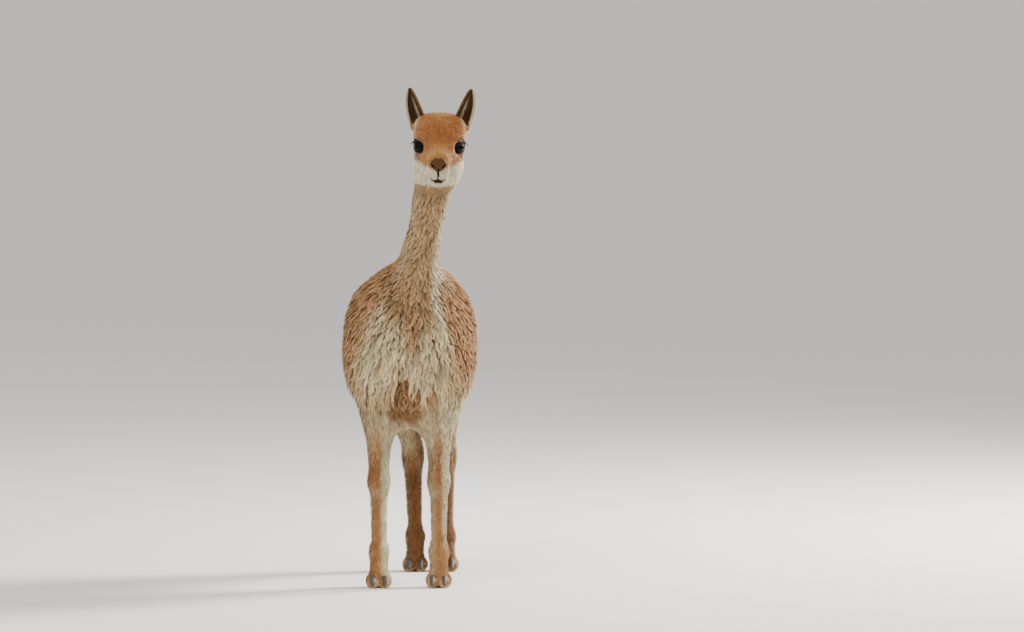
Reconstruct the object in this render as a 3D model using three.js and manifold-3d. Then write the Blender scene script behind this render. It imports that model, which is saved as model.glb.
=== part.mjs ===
// A vicuna standing still, life size, looking straight ahead with its ears up.
// Units are millimetres and Z is up. The animal faces -Y, and its own left is +X.
// The flesh is one smooth field of limbs and lobes, meshed on a grid and parted with thin cuts.

import * as THREE from "three";
import { mergeVertices } from "three/addons/utils/BufferGeometryUtils.js";
import Module from "manifold-3d";

const wasm = await Module();
wasm.setup();

// Driving dimensions
const GAP = 0.4; // clear space between sub-parts that touch
const RIB_X = 141; // half the width of the rib cage
const SHOULDER_Y = -200;
const HIP_Y = 235;
const HIP_SHIFT = 8; // the hindquarters stand a little to the animal's left
const ELBOW_Z = 468; // where a foreleg leaves the chest
const STIFLE_Z = 455; // where a hind leg leaves the thigh
const KNEE_Z = 258;
const HOCK_Z = 284;
const FETLOCK_Z = 86;
const FORE_X = { left: 70, right: 77 }; // the forefeet from the middle plane
const TOE = 36;
const HIND_X = { left: 84, right: 6 }; // the hind feet stand close together
const LEFT = 1;
const RIGHT = -1;
const SIDES = { left: LEFT, right: RIGHT };

// The head's own frame has its origin midway between the eyes. It is tipped down at the nose
// and leans a little to the animal's left.
const HEAD_AT = new THREE.Vector3(74, -428, 1089);
const HEAD_PITCH = THREE.MathUtils.degToRad(8);
const HEAD_ROLL = THREE.MathUtils.degToRad(1.3);
const EYE = { x: 43, y: -9, z: 0, radius: 18, lid: 3.4, wide: 15.6, high: 12.6 };
const EAR = { x: 48, y: 26, z: 39, length: 101, width: 40, thick: 26, wall: 2.6, lean: 0.37, open: 0.3 };
const NOSTRIL = { x: 13, y: -124, z: -26, slant: 0.7 };

const headFrame = new THREE.Matrix4()
  .makeTranslation(HEAD_AT.x, HEAD_AT.y, HEAD_AT.z)
  .multiply(new THREE.Matrix4().makeRotationY(HEAD_ROLL))
  .multiply(new THREE.Matrix4().makeRotationX(HEAD_PITCH));
const intoHead = headFrame.clone().invert();

// The field: how far a point is outside the flesh

// A limb tapers from radius ra at a to rb at b. Scale squeezes it along X, Y and Z.
function limb(a, b, ra, rb, { blend = 40, scale = [1, 1, 1] } = {}) {
  return { a, b, ra, rb, blend, scale };
}

function lobe(centre, size, blend = 40) {
  return limb(centre, centre, 1, 1, { blend, scale: size });
}

function reach(p, { a, b, ra, rb, scale }) {
  const ab = [b[0] - a[0], b[1] - a[1], b[2] - a[2]];
  const length2 = ab[0] ** 2 + ab[1] ** 2 + ab[2] ** 2;
  const dot = (p.x - a[0]) * ab[0] + (p.y - a[1]) * ab[1] + (p.z - a[2]) * ab[2];
  const t = length2 > 0 ? THREE.MathUtils.clamp(dot / length2, 0, 1) : 0;
  const away = Math.hypot(
    (p.x - a[0] - ab[0] * t) / scale[0],
    (p.y - a[1] - ab[1] * t) / scale[1],
    (p.z - a[2] - ab[2] * t) / scale[2],
  );
  return (away - (ra + (rb - ra) * t)) * Math.min(...scale);
}

// The smaller of two distances, with the crease between them filled over a width k.
function melt(d, e, k) {
  const near = Math.max(k - Math.abs(d - e), 0) / k;
  return Math.min(d, e) - (near * near * k) / 4;
}

const shapesReach = (p, shapes) => shapes.reduce((d, s) => melt(d, reach(p, s), s.blend), Infinity);
const bothSides = (make) => [...make(LEFT), ...make(RIGHT)];

const trunk = [
  limb([0, -195, 606], [0, 60, 598], 190, 186, { scale: [RIB_X / 190, 1, 1] }),
  limb([0, 60, 598], [HIP_SHIFT, 215, 630], 186, 138, { scale: [0.76, 1, 1], blend: 50 }),
  lobe([0, SHOULDER_Y - 30, 530], [104, 100, 122], 60),
  ...bothSides((s) => [lobe([s * 84, SHOULDER_Y, 604], [66, 104, 138], 50)]),
  lobe([HIP_SHIFT, HIP_Y, 636], [112, 116, 131], 50),
];

const neck = [
  limb([0, -215, 650], [24, -318, 808], 122, 53, { scale: [0.72, 1, 1], blend: 70 }),
  limb([24, -318, 808], [53, -366, 955], 54, 50, { scale: [0.83, 1, 1], blend: 30 }),
  limb([53, -366, 955], [72, -384, 1074], 50, 50, { scale: [0.88, 1, 1], blend: 20 }),
];

function toes(x, y) {
  return [LEFT, RIGHT].map((s) =>
    limb([x + s * 13, y, 17], [x + s * 15, y - TOE, 12], 20, 15, { blend: 6 }),
  );
}

const foreX = (s) => (s === LEFT ? FORE_X.left : -FORE_X.right);

function foreleg(s) {
  const x = foreX(s);
  return [
    limb([x, -188, 535], [x, -198, 272], 60, 29, { scale: [0.8, 1, 1] }),
    lobe([x, -201, KNEE_Z], [25.5, 29, 31], 22),
    limb([x, -196, 245], [x, -190, 98], 24, 20, { scale: [0.95, 1, 1], blend: 16 }),
    lobe([x, -192, FETLOCK_Z], [24, 26, 25], 16),
    limb([x, -194, 78], [x, -214, 36], 22, 24, { blend: 14 }),
    ...toes(x, -206),
  ];
}

function hindleg(s) {
  const hip = HIP_SHIFT + s * 64;
  const hoof = s === LEFT ? HIND_X.left : HIND_X.right;
  const stifle = hip + (hoof - hip) * 0.3;
  const hock = hip + (hoof - hip) * 0.9;
  return [
    limb([hip, 222, 630], [stifle, 176, 488], 106, 74, { scale: [0.66, 1, 1], blend: 60 }),
    limb([hip, 292, 606], [stifle, 258, 450], 74, 46, { scale: [0.8, 1, 1], blend: 50 }),
    limb([stifle, 190, 480], [hock, 286, HOCK_Z + 22], 68, 31, { scale: [0.74, 1, 1] }),
    lobe([hock, 298, HOCK_Z + 8], [24, 34, 38], 24),
    limb([hock, 292, HOCK_Z - 14], [hoof, 272, 98], 27, 20, { scale: [0.9, 1, 1], blend: 18 }),
    lobe([hoof, 272, FETLOCK_Z], [24, 26, 25], 16),
    limb([hoof, 270, 78], [hoof, 250, 36], 22, 24, { blend: 14 }),
    ...toes(hoof, 258),
  ];
}

const legs = [
  { shapes: foreleg(LEFT), blend: 60 },
  { shapes: foreleg(RIGHT), blend: 60 },
  { shapes: hindleg(LEFT), blend: 60 },
  { shapes: hindleg(RIGHT), blend: 60 },
];

const skull = [
  lobe([0, 30, 28], [58, 62, 49]),
  ...bothSides((s) => [
    lobe([s * 33, 28, 40], [25, 34, 26], 26),
    lobe([s * 41, -6, 16], [17, 26, 15], 16),
  ]),
  limb([0, -6, 12], [0, -101, -23], 49, 26, { scale: [0.86, 1, 1], blend: 24 }),
  lobe([0, -117, -16], [19, 12, 17], 8),
  ...bothSides((s) => [
    lobe([s * 11, -107, -45], [15, 16, 16], 10),
    lobe([s * 30, 8, -32], [27, 50, 42], 26),
    lobe([s * 24, 26, -58], [30, 40, 40], 26),
  ]),
];

const jaw = [
  limb([0, 10, -60], [0, -88, -63], 28, 16, { blend: 14 }),
  lobe([0, -98, -67], [16, 13, 13], 10),
];

function headReach(p) {
  const q = p.clone().applyMatrix4(intoHead);
  return melt(shapesReach(q, skull), shapesReach(q, jaw), 14);
}

function fleshReach(p) {
  const body = melt(shapesReach(p, trunk), shapesReach(p, neck), 60);
  const withLegs = Math.min(...legs.map((l) => melt(body, shapesReach(p, l.shapes), l.blend)));
  return p.z > 900 ? melt(withLegs, headReach(p), 26) : withLegs;
}

// Faces from the field

// A closed surface where the field crosses zero inside a box of cells, seen in the frame `place`.
function netSurface(field, { low, high, cell, place = new THREE.Matrix4() }) {
  const size = low.map((l, i) => Math.ceil((high[i] - l) / cell[i]) + 4);
  const toWorld = (i, j, k) =>
    new THREE.Vector3(
      low[0] + (i - 1.5) * cell[0],
      low[1] + (j - 1.5) * cell[1],
      low[2] + (k - 1.5) * cell[2],
    ).applyMatrix4(place);
  const fromPlace = place.clone().invert();
  const boxed = (p) => {
    const q = p.clone().applyMatrix4(fromPlace);
    const out = [q.x, q.y, q.z].map((v, i) => Math.max(low[i] - v, v - high[i]));
    return Math.max(field(p), ...out);
  };
  const at = (i, j, k) => (k * size[1] + j) * size[0] + i;
  const value = new Float64Array(size[0] * size[1] * size[2]);
  for (let k = 0; k < size[2]; k++)
    for (let j = 0; j < size[1]; j++)
      for (let i = 0; i < size[0]; i++) value[at(i, j, k)] = boxed(toWorld(i, j, k));

  const corners = [0, 1, 2, 3, 4, 5, 6, 7].map((c) => [c & 1, (c >> 1) & 1, c >> 2]);
  const edges = [];
  corners.forEach((a, i) =>
    corners.slice(i + 1).forEach((b) => {
      if (Math.abs(a[0] - b[0]) + Math.abs(a[1] - b[1]) + Math.abs(a[2] - b[2]) === 1) edges.push([a, b]);
    }),
  );
  const points = [];
  const indexOf = new Map();
  for (let k = 0; k < size[2] - 1; k++)
    for (let j = 0; j < size[1] - 1; j++)
      for (let i = 0; i < size[0] - 1; i++) {
        const sum = new THREE.Vector3();
        let crossings = 0;
        for (const [a, b] of edges) {
          const va = value[at(i + a[0], j + a[1], k + a[2])];
          const vb = value[at(i + b[0], j + b[1], k + b[2])];
          if (va < 0 === vb < 0) continue;
          const from = toWorld(i + a[0], j + a[1], k + a[2]);
          sum.add(from.lerp(toWorld(i + b[0], j + b[1], k + b[2]), va / (va - vb)));
          crossings++;
        }
        if (!crossings) continue;
        indexOf.set(at(i, j, k), points.length);
        points.push(settle(sum.divideScalar(crossings), boxed, Math.min(...cell) * 0.4));
      }

  const index = [];
  const steps = [
    [1, 0, 0],
    [0, 1, 0],
    [0, 0, 1],
  ];
  for (let k = 1; k < size[2] - 1; k++)
    for (let j = 1; j < size[1] - 1; j++)
      for (let i = 1; i < size[0] - 1; i++)
        steps.forEach((step, axis) => {
          const inside = value[at(i, j, k)] < 0;
          if (inside === value[at(i + step[0], j + step[1], k + step[2])] < 0) return;
          const u = steps[(axis + 1) % 3];
          const v = steps[(axis + 2) % 3];
          const ring = [
            [0, 0],
            [1, 0],
            [1, 1],
            [0, 1],
          ].map(([m, n]) =>
            indexOf.get(at(i - m * u[0] - n * v[0], j - m * u[1] - n * v[1], k - m * u[2] - n * v[2])),
          );
          if (!inside) ring.reverse();
          const [a, b, c, d] = ring;
          const shortAC = points[a].distanceToSquared(points[c]) <= points[b].distanceToSquared(points[d]);
          index.push(...(shortAC ? [a, b, c, a, c, d] : [a, b, d, b, c, d]));
        });
  const geometry = new THREE.BufferGeometry().setFromPoints(points);
  geometry.setIndex(index);
  return geometry;
}

// Walks a point a short way down the field's slope until it lies on the surface.
function settle(point, field, most) {
  const h = 0.5;
  for (let turn = 0; turn < 3; turn++) {
    const d = field(point);
    const slope = new THREE.Vector3(
      field(point.clone().setX(point.x + h)) - d,
      field(point.clone().setY(point.y + h)) - d,
      field(point.clone().setZ(point.z + h)) - d,
    ).divideScalar(h);
    const step = slope.multiplyScalar(-d / Math.max(slope.lengthSq(), 0.2));
    point.add(step.clampLength(0, most));
  }
  return point;
}

// Solids

function solidOf(geometry) {
  const bare = geometry.clone();
  for (const name of ["normal", "uv"]) bare.deleteAttribute(name);
  const merged = mergeVertices(bare, 1e-4);
  const vertProperties = new Float32Array(merged.attributes.position.array);
  return new wasm.Manifold(new wasm.Mesh({ numProp: 3, vertProperties, triVerts: new Uint32Array(merged.index.array) }));
}

function block(low, high, place = new THREE.Matrix4()) {
  const size = high.map((h, i) => h - low[i]);
  const middle = high.map((h, i) => (h + low[i]) / 2);
  const geometry = new THREE.BoxGeometry(...size).translate(...middle);
  return solidOf(geometry.applyMatrix4(place));
}

function ball(centre, size, place = new THREE.Matrix4(), around = 14) {
  const geometry = new THREE.SphereGeometry(1, around, Math.ceil(around * 0.6)).scale(...size);
  return solidOf(geometry.translate(...centre).applyMatrix4(place));
}

// A closed skin over rings of points that all have the same count, with a fan on each end.
function loft(rings) {
  const count = rings[0].length;
  const points = rings.flat();
  const index = [];
  rings.slice(1).forEach((_, r) => {
    for (let i = 0; i < count; i++) {
      const [a, b] = [r * count + i, r * count + ((i + 1) % count)];
      index.push(a, b, b + count, a, b + count, a + count);
    }
  });
  [rings[0], rings.at(-1)].forEach((ring, end) => {
    const centre = ring.reduce((sum, p) => sum.add(p), new THREE.Vector3()).divideScalar(count);
    points.push(centre);
    const first = end * (rings.length - 1) * count;
    for (let i = 0; i < count; i++) {
      const [a, b] = [first + i, first + ((i + 1) % count)];
      index.push(...(end ? [a, b, points.length - 1] : [b, a, points.length - 1]));
    }
  });
  const geometry = new THREE.BufferGeometry().setFromPoints(points);
  geometry.setIndex(index);
  return solidOf(geometry);
}

const joined = (solids) => wasm.Manifold.union(solids);

function largest(solid) {
  const bodies = solid.decompose();
  return bodies.sort((a, b) => b.volume() - a.volume())[0];
}

// The flesh inside a block, whose flat sides part it from its neighbours.
function fleshIn({ low, high, cell, place, field = fleshReach }) {
  const margin = cell.map((c) => c * 1.6);
  const rough = netSurface(field, {
    low: low.map((l, i) => l - margin[i]),
    high: high.map((h, i) => h + margin[i]),
    cell,
    place,
  });
  return solidOf(rough).intersect(block(low, high, place));
}

function slopeAt(p, field = fleshReach) {
  const h = 0.5;
  const d = field(p);
  return new THREE.Vector3(
    field(p.clone().setX(p.x + h)) - d,
    field(p.clone().setY(p.y + h)) - d,
    field(p.clone().setZ(p.z + h)) - d,
  ).normalize();
}

// The point where a straight line first meets the flesh.
function touch(from, direction) {
  const p = from.clone();
  for (let turn = 0; turn < 200; turn++) {
    const d = fleshReach(p);
    if (d < 0.2) return p;
    p.addScaledVector(direction, Math.max(d * 0.6, 0.3));
  }
  throw new Error("the line passes the flesh by");
}

// A seeded draw from -1 to 1.
function drawFrom(seed) {
  let state = seed;
  return () => {
    state = (state * 1664525 + 1013904223) % 4294967296;
    return (state / 2147483648) - 1;
  };
}

// A lock is widest a third of the way along and runs out to a point.
const lockTaper = (t) => Math.sqrt(1 - t) * (1 - 0.25 * (1 - t) ** 3) + 0.05;

// Its section is a flat triangle with a ridge on the outer side.
function lockSection(at, across, out, half, thick) {
  const low = at.clone().addScaledVector(out, -thick * 0.35);
  return [
    low.clone().addScaledVector(across, half),
    low.clone().addScaledVector(across, -half),
    at.clone().addScaledVector(out, thick * 0.65),
  ];
}

// A flat, tapered lock that leaves the skin at its root and runs along `lie`, bent over the flesh.
function lock(root, lie, { length, width, thick, sink, lift, steps = 3 }) {
  const rings = [];
  const p = root.clone();
  const along = lie.clone();
  for (let i = 0; i <= steps; i++) {
    const t = i / steps;
    settle(p, fleshReach, 30);
    const out = slopeAt(p);
    along.addScaledVector(out, -along.dot(out)).normalize();
    const across = new THREE.Vector3().crossVectors(along, out).normalize();
    const at = p.clone().addScaledVector(out, -sink + (lift + sink) * t ** 0.7);
    rings.push(lockSection(at, across, out, (width / 2) * lockTaper(t), thick * lockTaper(t)));
    p.addScaledVector(along, length / steps);
    along.lerp(new THREE.Vector3(0, 0, -1), 0.12).normalize();
  }
  return loft(rings);
}

// The head

const neckFrom = new THREE.Vector3(10, -258, 722);
const neckTo = new THREE.Vector3(66, -378, 985);
const neckLength = neckFrom.distanceTo(neckTo);
const neckFrame = new THREE.Matrix4()
  .makeTranslation(neckFrom.x, neckFrom.y, neckFrom.z)
  .multiply(
    new THREE.Matrix4().makeRotationFromQuaternion(
      new THREE.Quaternion().setFromUnitVectors(
        new THREE.Vector3(0, 0, 1),
        neckTo.clone().sub(neckFrom).normalize(),
      ),
    ),
  );

const MOUTH = { front: -63, corner: -52, cornerY: -52, thick: 2.4, deep: 6 };
const JAW_BACK_Y = -16;

// The mouth line climbs from the front of the lips to its corner, and this frame lies along it.
const mouthSlope = Math.atan2(MOUTH.corner - MOUTH.front, MOUTH.cornerY + 112);
const mouthFrame = headFrame
  .clone()
  .multiply(new THREE.Matrix4().makeTranslation(0, -112, MOUTH.front))
  .multiply(new THREE.Matrix4().makeRotationX(mouthSlope));

function eyeGaze(s) {
  return new THREE.Vector3(s * 0.7, -0.71, 0.08).normalize();
}

function eyeFrame(s) {
  const turn = new THREE.Quaternion().setFromUnitVectors(new THREE.Vector3(0, 1, 0), eyeGaze(s));
  return headFrame
    .clone()
    .multiply(new THREE.Matrix4().makeTranslation(s * EYE.x, EYE.y, EYE.z))
    .multiply(new THREE.Matrix4().makeRotationFromQuaternion(turn));
}

function eyeball(s, grow = 0) {
  return ball([0, 0, 0], [1, 1, 1].map((k) => k * (EYE.radius + grow)), eyeFrame(s), 12);
}

// The lids are a thin shell over the eyeball, and part over an almond that flares outwards.
const lids = (s) => eyeball(s, EYE.lid);

function almond(s) {
  const opening = new THREE.CylinderGeometry(1.3, 0.6, 40, 14).scale(EYE.wide, 1, EYE.high);
  return solidOf(opening.translate(0, 20, 0).applyMatrix4(eyeFrame(s)));
}

function earFrame(s) {
  const axis = new THREE.Vector3(s * EAR.lean, 0.02, 1).normalize();
  const turn = new THREE.Quaternion().setFromUnitVectors(new THREE.Vector3(0, 0, 1), axis);
  const open = new THREE.Quaternion().setFromAxisAngle(axis, s * EAR.open);
  return headFrame
    .clone()
    .multiply(new THREE.Matrix4().makeTranslation(s * EAR.x, EAR.y, EAR.z))
    .multiply(new THREE.Matrix4().makeRotationFromQuaternion(open.multiply(turn)));
}

// Rings up an ear: half its width and half its depth at each height, leaning in at the tip.
function earRings(s, from, to, widthOf, depthOf, forward, around = 12) {
  const steps = 7;
  return Array.from({ length: steps + 1 }, (_, i) => {
    const t = from + ((to - from) * i) / steps;
    return Array.from({ length: around }, (_, j) => {
      const turn = (j / around) * Math.PI * 2;
      const x = Math.cos(turn) * widthOf(t) - s * 9 * t ** 3;
      const y = Math.sin(turn) * depthOf(t) - forward(t);
      return new THREE.Vector3(x, y, t * EAR.length).applyMatrix4(earFrame(s));
    });
  });
}

const earWidth = (t) => EAR.width * 0.72 * (0.35 + t) ** 0.4 * (1 - t) ** 0.62 + 0.7;
const earDepth = (t) => (EAR.thick / 2) * (1 - t) ** 0.7 + 0.8;

function ear(s) {
  const outer = loft(earRings(s, 0, 1, earWidth, earDepth, () => 0));
  const opening = (t) => Math.min(1, (0.15 + (t - 0.12) * 6) ** 0.6);
  const cup = loft(
    earRings(
      s,
      0.12,
      0.95,
      (t) => (earWidth(t) - EAR.wall) * opening(t),
      (t) => earDepth(t) * 1.1 * opening(t),
      (t) => earDepth(t) * 1.1 - (earDepth(t) - EAR.wall) * opening(t) * 0.9,
      10,
    ),
  );
  return outer.subtract(cup);
}

const earRoot = (s) =>
  loft(earRings(s, -0.05, 0.35, (t) => earWidth(t) + GAP, (t) => earDepth(t) + GAP, () => 0));

// Slanted nostrils and the cleft of the upper lip
function nostrils() {
  const cuts = [LEFT, RIGHT].map((s) => {
    const slant = new THREE.Matrix4().makeRotationY(s * NOSTRIL.slant);
    const place = headFrame
      .clone()
      .multiply(new THREE.Matrix4().makeTranslation(s * NOSTRIL.x, NOSTRIL.y, NOSTRIL.z))
      .multiply(slant);
    return ball([0, 0, 0], [2.6, 9, 6.5], place, 10);
  });
  const cleft = ball([0, -126, -40], [1.5, 8, 15], headFrame, 8);
  return joined([...cuts, cleft]);
}

const skullBox = { low: [-85, -150, -120], high: [85, 125, 120], cell: [11.5, 13, 12], place: headFrame };
const belowHead = block([-400, -400, -900], [400, 400, neckLength + GAP], neckFrame);
const jawBlock = (grow) => block([-60, -60, -60], [60, 112 + JAW_BACK_Y + grow, grow / 2], mouthFrame);

function mouthGroove() {
  const inner = fleshIn({ ...skullBox, cell: [10, 10, 10], field: (p) => headReach(p) + MOUTH.deep });
  const slab = block([-60, -60, -MOUTH.thick / 2], [60, 112 + MOUTH.cornerY, MOUTH.thick / 2], mouthFrame);
  return slab.subtract(inner);
}

function headParts() {
  const whole = fleshIn(skullBox).subtract(belowHead);
  const groove = mouthGroove();
  const jawSolid = whole.intersect(jawBlock(-GAP)).subtract(groove);
  const openings = [LEFT, RIGHT].flatMap((s) => [eyeball(s, GAP), almond(s), earRoot(s)]);
  const lidded = joined([whole.subtract(jawBlock(GAP)), lids(LEFT), lids(RIGHT)]);
  return {
    head: largest(lidded.subtract(joined([...openings, groove, nostrils()]))),
    jaw: largest(jawSolid),
  };
}

// The chest and its long bib

const BIB = { rows: 5, top: 690, bottom: 580, columns: 8, half: 160 };

function bibLocks() {
  const draw = drawFrom(7);
  const locks = [];
  for (let r = 0; r < BIB.rows; r++) {
    const down = r / (BIB.rows - 1);
    const z = BIB.top + (BIB.bottom - BIB.top) * down;
    const half = BIB.half * (0.55 + 0.45 * Math.sin((Math.PI / 2) * Math.min(down * 1.6, 1)));
    const count = Math.round(BIB.columns * (half / BIB.half)) - (r % 2);
    for (let c = 0; c < count; c++) {
      const across = ((c + 0.5) / count) * 2 - 1;
      const x = across * half + draw() * 3;
      const from = new THREE.Vector3(x * 1.6, -520, z + draw() * 5 - Math.abs(across) * 14);
      const aim = new THREE.Vector3(x * 0.4, -200, from.z - 10).sub(from).normalize();
      const lie = new THREE.Vector3(across * 0.55 + draw() * 0.1, -0.1, -1).normalize();
      locks.push(
        lock(touch(from, aim), lie, {
          length: 108 + draw() * 12,
          width: 46 + draw() * 4,
          thick: 10,
          sink: 6,
          lift: 18 + draw() * 4,
        }),
      );
    }
  }
  return joined(locks);
}

const foreBlock = (s, grow) => {
  const [inner, outer] = [36 - grow, 170];
  const x = s === LEFT ? [inner, outer] : [-outer, -inner];
  return block([x[0], -330, -20], [x[1], -100, ELBOW_Z + grow]);
};
const hindBlock = (s, grow) => {
  const middle = (HIND_X.left + HIND_X.right) / 2;
  const x = s === LEFT ? [middle + GAP / 2 - grow, 260] : [-170, middle - GAP / 2 + grow];
  return block([x[0], 130 + GAP - grow, -20], [x[1], 420, STIFLE_Z + grow]);
};

const aboveChest = block([-400, -400, -GAP / 2], [400, 400, 900], neckFrame);

function chestPart() {
  const forelegs = joined([foreBlock(LEFT, GAP), foreBlock(RIGHT, GAP)]);
  const core = fleshIn({ low: [-230, -420, 380], high: [230, -100, 900], cell: [32, 30, 32] });
  const legFlesh = fleshIn({
    low: [-190, -340, 380],
    high: [190, -100, ELBOW_Z + GAP],
    cell: [20, 20, 20],
    field: (p) => fleshReach(p) - 1.5,
  });
  const locks = bibLocks().subtract(legFlesh.intersect(forelegs));
  return largest(core.subtract(forelegs).add(locks).subtract(aboveChest));
}

const trunkPart = () => largest(fleshIn({ low: [-230, -100 + GAP, 380], high: [230, 130, 900], cell: [38, 56, 38] }));

// The tail hangs against the rump, a core with locks over its free side.
const TAIL = { wide: 32, deep: 20, locks: 4, rows: 3, length: 124, width: 46 };
const tailPath = new THREE.CatmullRomCurve3([
  new THREE.Vector3(HIP_SHIFT, 322, 722),
  new THREE.Vector3(HIP_SHIFT, 358, 708),
  new THREE.Vector3(HIP_SHIFT, 382, 650),
  new THREE.Vector3(HIP_SHIFT - 2, 383, 585),
  new THREE.Vector3(HIP_SHIFT - 4, 372, 520),
]);
const tailFull = (t) => 0.5 + 0.5 * Math.sin(Math.PI * Math.min(t * 1.2, 0.75)) - 0.35 * t ** 3;

// A point beside the tail's axis at the turn given, past its end too, where t is over 1.
function besideTail(t, turn, grow) {
  const u = Math.min(t, 1);
  const along = tailPath.getTangent(u);
  const across = new THREE.Vector3(-1, 0, 0);
  const out = new THREE.Vector3().crossVectors(along, across).normalize();
  return tailPath
    .getPoint(u)
    .addScaledVector(along, (t - u) * tailPath.getLength())
    .addScaledVector(across, Math.cos(turn) * (TAIL.wide * tailFull(u) + grow))
    .addScaledVector(out, Math.sin(turn) * (TAIL.deep * tailFull(u) + grow));
}

function tailCore(grow) {
  const steps = 6;
  const around = 8;
  return loft(
    Array.from({ length: steps + 1 }, (_, i) =>
      Array.from({ length: around }, (_, j) => besideTail(i / steps, (j / around) * Math.PI * 2, grow)),
    ),
  );
}

function tailLocks() {
  const draw = drawFrom(11);
  const locks = [];
  for (let r = 0; r < TAIL.rows; r++)
    for (let c = 0; c < TAIL.locks - (r % 2); c++) {
      const turn = Math.PI * ((c + 0.5) / (TAIL.locks - (r % 2))) * 1.16 - 0.25 + draw() * 0.05;
      const start = 0.1 + r * 0.3 + draw() * 0.03;
      const steps = 4;
      const rings = Array.from({ length: steps + 1 }, (_, i) => {
        const u = i / steps;
        const t = start + (u * (TAIL.length + draw() * 2)) / tailPath.getLength();
        const at = besideTail(t, turn, -6 + 15 * u ** 0.8);
        const full = lockTaper(u);
        const side = besideTail(t, turn + 0.05, 0).sub(besideTail(t, turn - 0.05, 0)).normalize();
        const out = besideTail(t, turn, 10).sub(besideTail(t, turn, 0)).normalize();
        return lockSection(at, side, out, (TAIL.width / 2) * full, 7 * full);
      });
      locks.push(loft(rings));
    }
  return joined(locks);
}

// The rump's flesh grown a little, to cut the tail's locks clear of it
const rumpBox = { low: [-230, 130 + GAP, 380], high: [230, 460, 900], cell: [36, 36, 36] };

function tailPart() {
  const flesh = fleshIn({ ...rumpBox, field: (p) => fleshReach(p) - 1.5 });
  return largest(tailCore(0).add(tailLocks().subtract(flesh)));
}

function rumpPart() {
  return largest(
    fleshIn(rumpBox)
      .subtract(hindBlock(LEFT, GAP))
      .subtract(hindBlock(RIGHT, GAP))
      .subtract(tailCore(GAP)),
  );
}

// Legs and feet

// A nail lies along the top of its toe and hooks down at the tip.
function nail(x, y, grow = 0) {
  const steps = 3;
  const rings = Array.from({ length: steps + 1 }, (_, i) => {
    const t = i / steps;
    const radius = 9 * (1 - t) ** 0.5 + 1.2 + grow;
    return Array.from({ length: 6 }, (_, j) => {
      const turn = (j / 6) * Math.PI * 2;
      return new THREE.Vector3(
        x + Math.cos(turn) * radius * 0.85,
        y + 2 - 24 * t - (i === steps ? grow : 0),
        Math.max(21 - 13 * t ** 1.6 + Math.sin(turn) * radius, 1 - grow),
      );
    });
  });
  return loft(rings);
}

function legParts(name, s, isFore) {
  const x = isFore ? foreX(s) : s === LEFT ? HIND_X.left : HIND_X.right;
  const joint = isFore ? KNEE_Z : HOCK_Z;
  const whole = isFore ? foreBlock(s, 0) : hindBlock(s, 0);
  const [front, back] = isFore ? [-340, -90] : [90, 430];
  const band = (low, high, cell) =>
    largest(fleshIn({ low: [x - 110, front, low], high: [x + 110, back, high], cell }).intersect(whole));
  const toeY = (isFore ? -206 : 258) - TOE;
  const nails = [LEFT, RIGHT].map((side) => ({ side, x: x + side * 15, y: toeY }));
  const foot = band(0, FETLOCK_Z, [13, 18, 18]).subtract(joined(nails.map((n) => nail(n.x, n.y, GAP))));
  return {
    [`${name}_upper`]: band(joint + GAP, isFore ? ELBOW_Z : STIFLE_Z, [20, 23, 36]),
    [`${name}_lower`]: band(FETLOCK_Z + GAP, joint, [15, 15, 32]),
    [`${name}_foot`]: largest(foot),
    ...Object.fromEntries(
      nails.map((n) => [`${name}_nail_${n.side * s === 1 ? "outer" : "inner"}`, nail(n.x, n.y)]),
    ),
  };
}

// The model

const COLOURS = {
  fawn: { color: 0xb4713c, roughness: 0.9 },
  cream: { color: 0xd8cbb0, roughness: 0.95 },
  brown: { color: 0x7a4a2a, roughness: 0.9 },
  horn: { color: 0x2c221c, roughness: 0.5 },
  eye: { color: 0x0e0a08, roughness: 0.05 },
};

function materialFor(name) {
  const kind = name.startsWith("eye")
    ? "eye"
    : name.includes("nail")
      ? "horn"
      : name.startsWith("ear")
        ? "brown"
        : name === "chest" || name === "jaw"
          ? "cream"
          : "fawn";
  return new THREE.MeshStandardMaterial({ name: kind, metalness: 0, ...COLOURS[kind] });
}

const neckPart = () =>
  largest(fleshIn({ low: [-190, -190, GAP / 2], high: [190, 240, neckLength], cell: [26, 26, 42], place: neckFrame }));

const solids = {
  ...headParts(),
  neck: neckPart(),
  chest: chestPart(),
  trunk: trunkPart(),
  rump: rumpPart(),
  tail: tailPart(),
};
for (const [word, s] of Object.entries(SIDES)) {
  solids[`eye_${word}`] = eyeball(s);
  solids[`ear_${word}`] = ear(s);
  Object.assign(solids, legParts(`foreleg_${word}`, s, true), legParts(`hindleg_${word}`, s, false));
}

// Each sub-part's mesh stands at the middle of its own box.
function meshOf(name, solid) {
  const { numProp, vertProperties, triVerts } = solid.getMesh();
  const geometry = new THREE.BufferGeometry();
  const places = new THREE.BufferAttribute(new Float32Array(vertProperties), numProp);
  geometry.setAttribute("position", places).setIndex(new THREE.BufferAttribute(triVerts, 1));
  geometry.computeBoundingBox();
  const middle = geometry.boundingBox.getCenter(new THREE.Vector3());
  geometry.translate(-middle.x, -middle.y, -middle.z);
  geometry.computeVertexNormals();
  const mesh = new THREE.Mesh(geometry, materialFor(name));
  mesh.name = name;
  mesh.position.copy(middle);
  return mesh;
}

const vicuna = new THREE.Group();
vicuna.name = "vicuna";
for (const [name, solid] of Object.entries(solids)) vicuna.add(meshOf(name, solid));

// The origin is under the middle of the whole animal, on the floor.
const reachOfAll = new THREE.Box3().setFromObject(vicuna);
const middleOfAll = reachOfAll.getCenter(new THREE.Vector3());
vicuna.position.set(-middleOfAll.x, -middleOfAll.y, -reachOfAll.min.z);

export default vicuna;
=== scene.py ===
import math
from functools import partial
from types import SimpleNamespace

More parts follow.
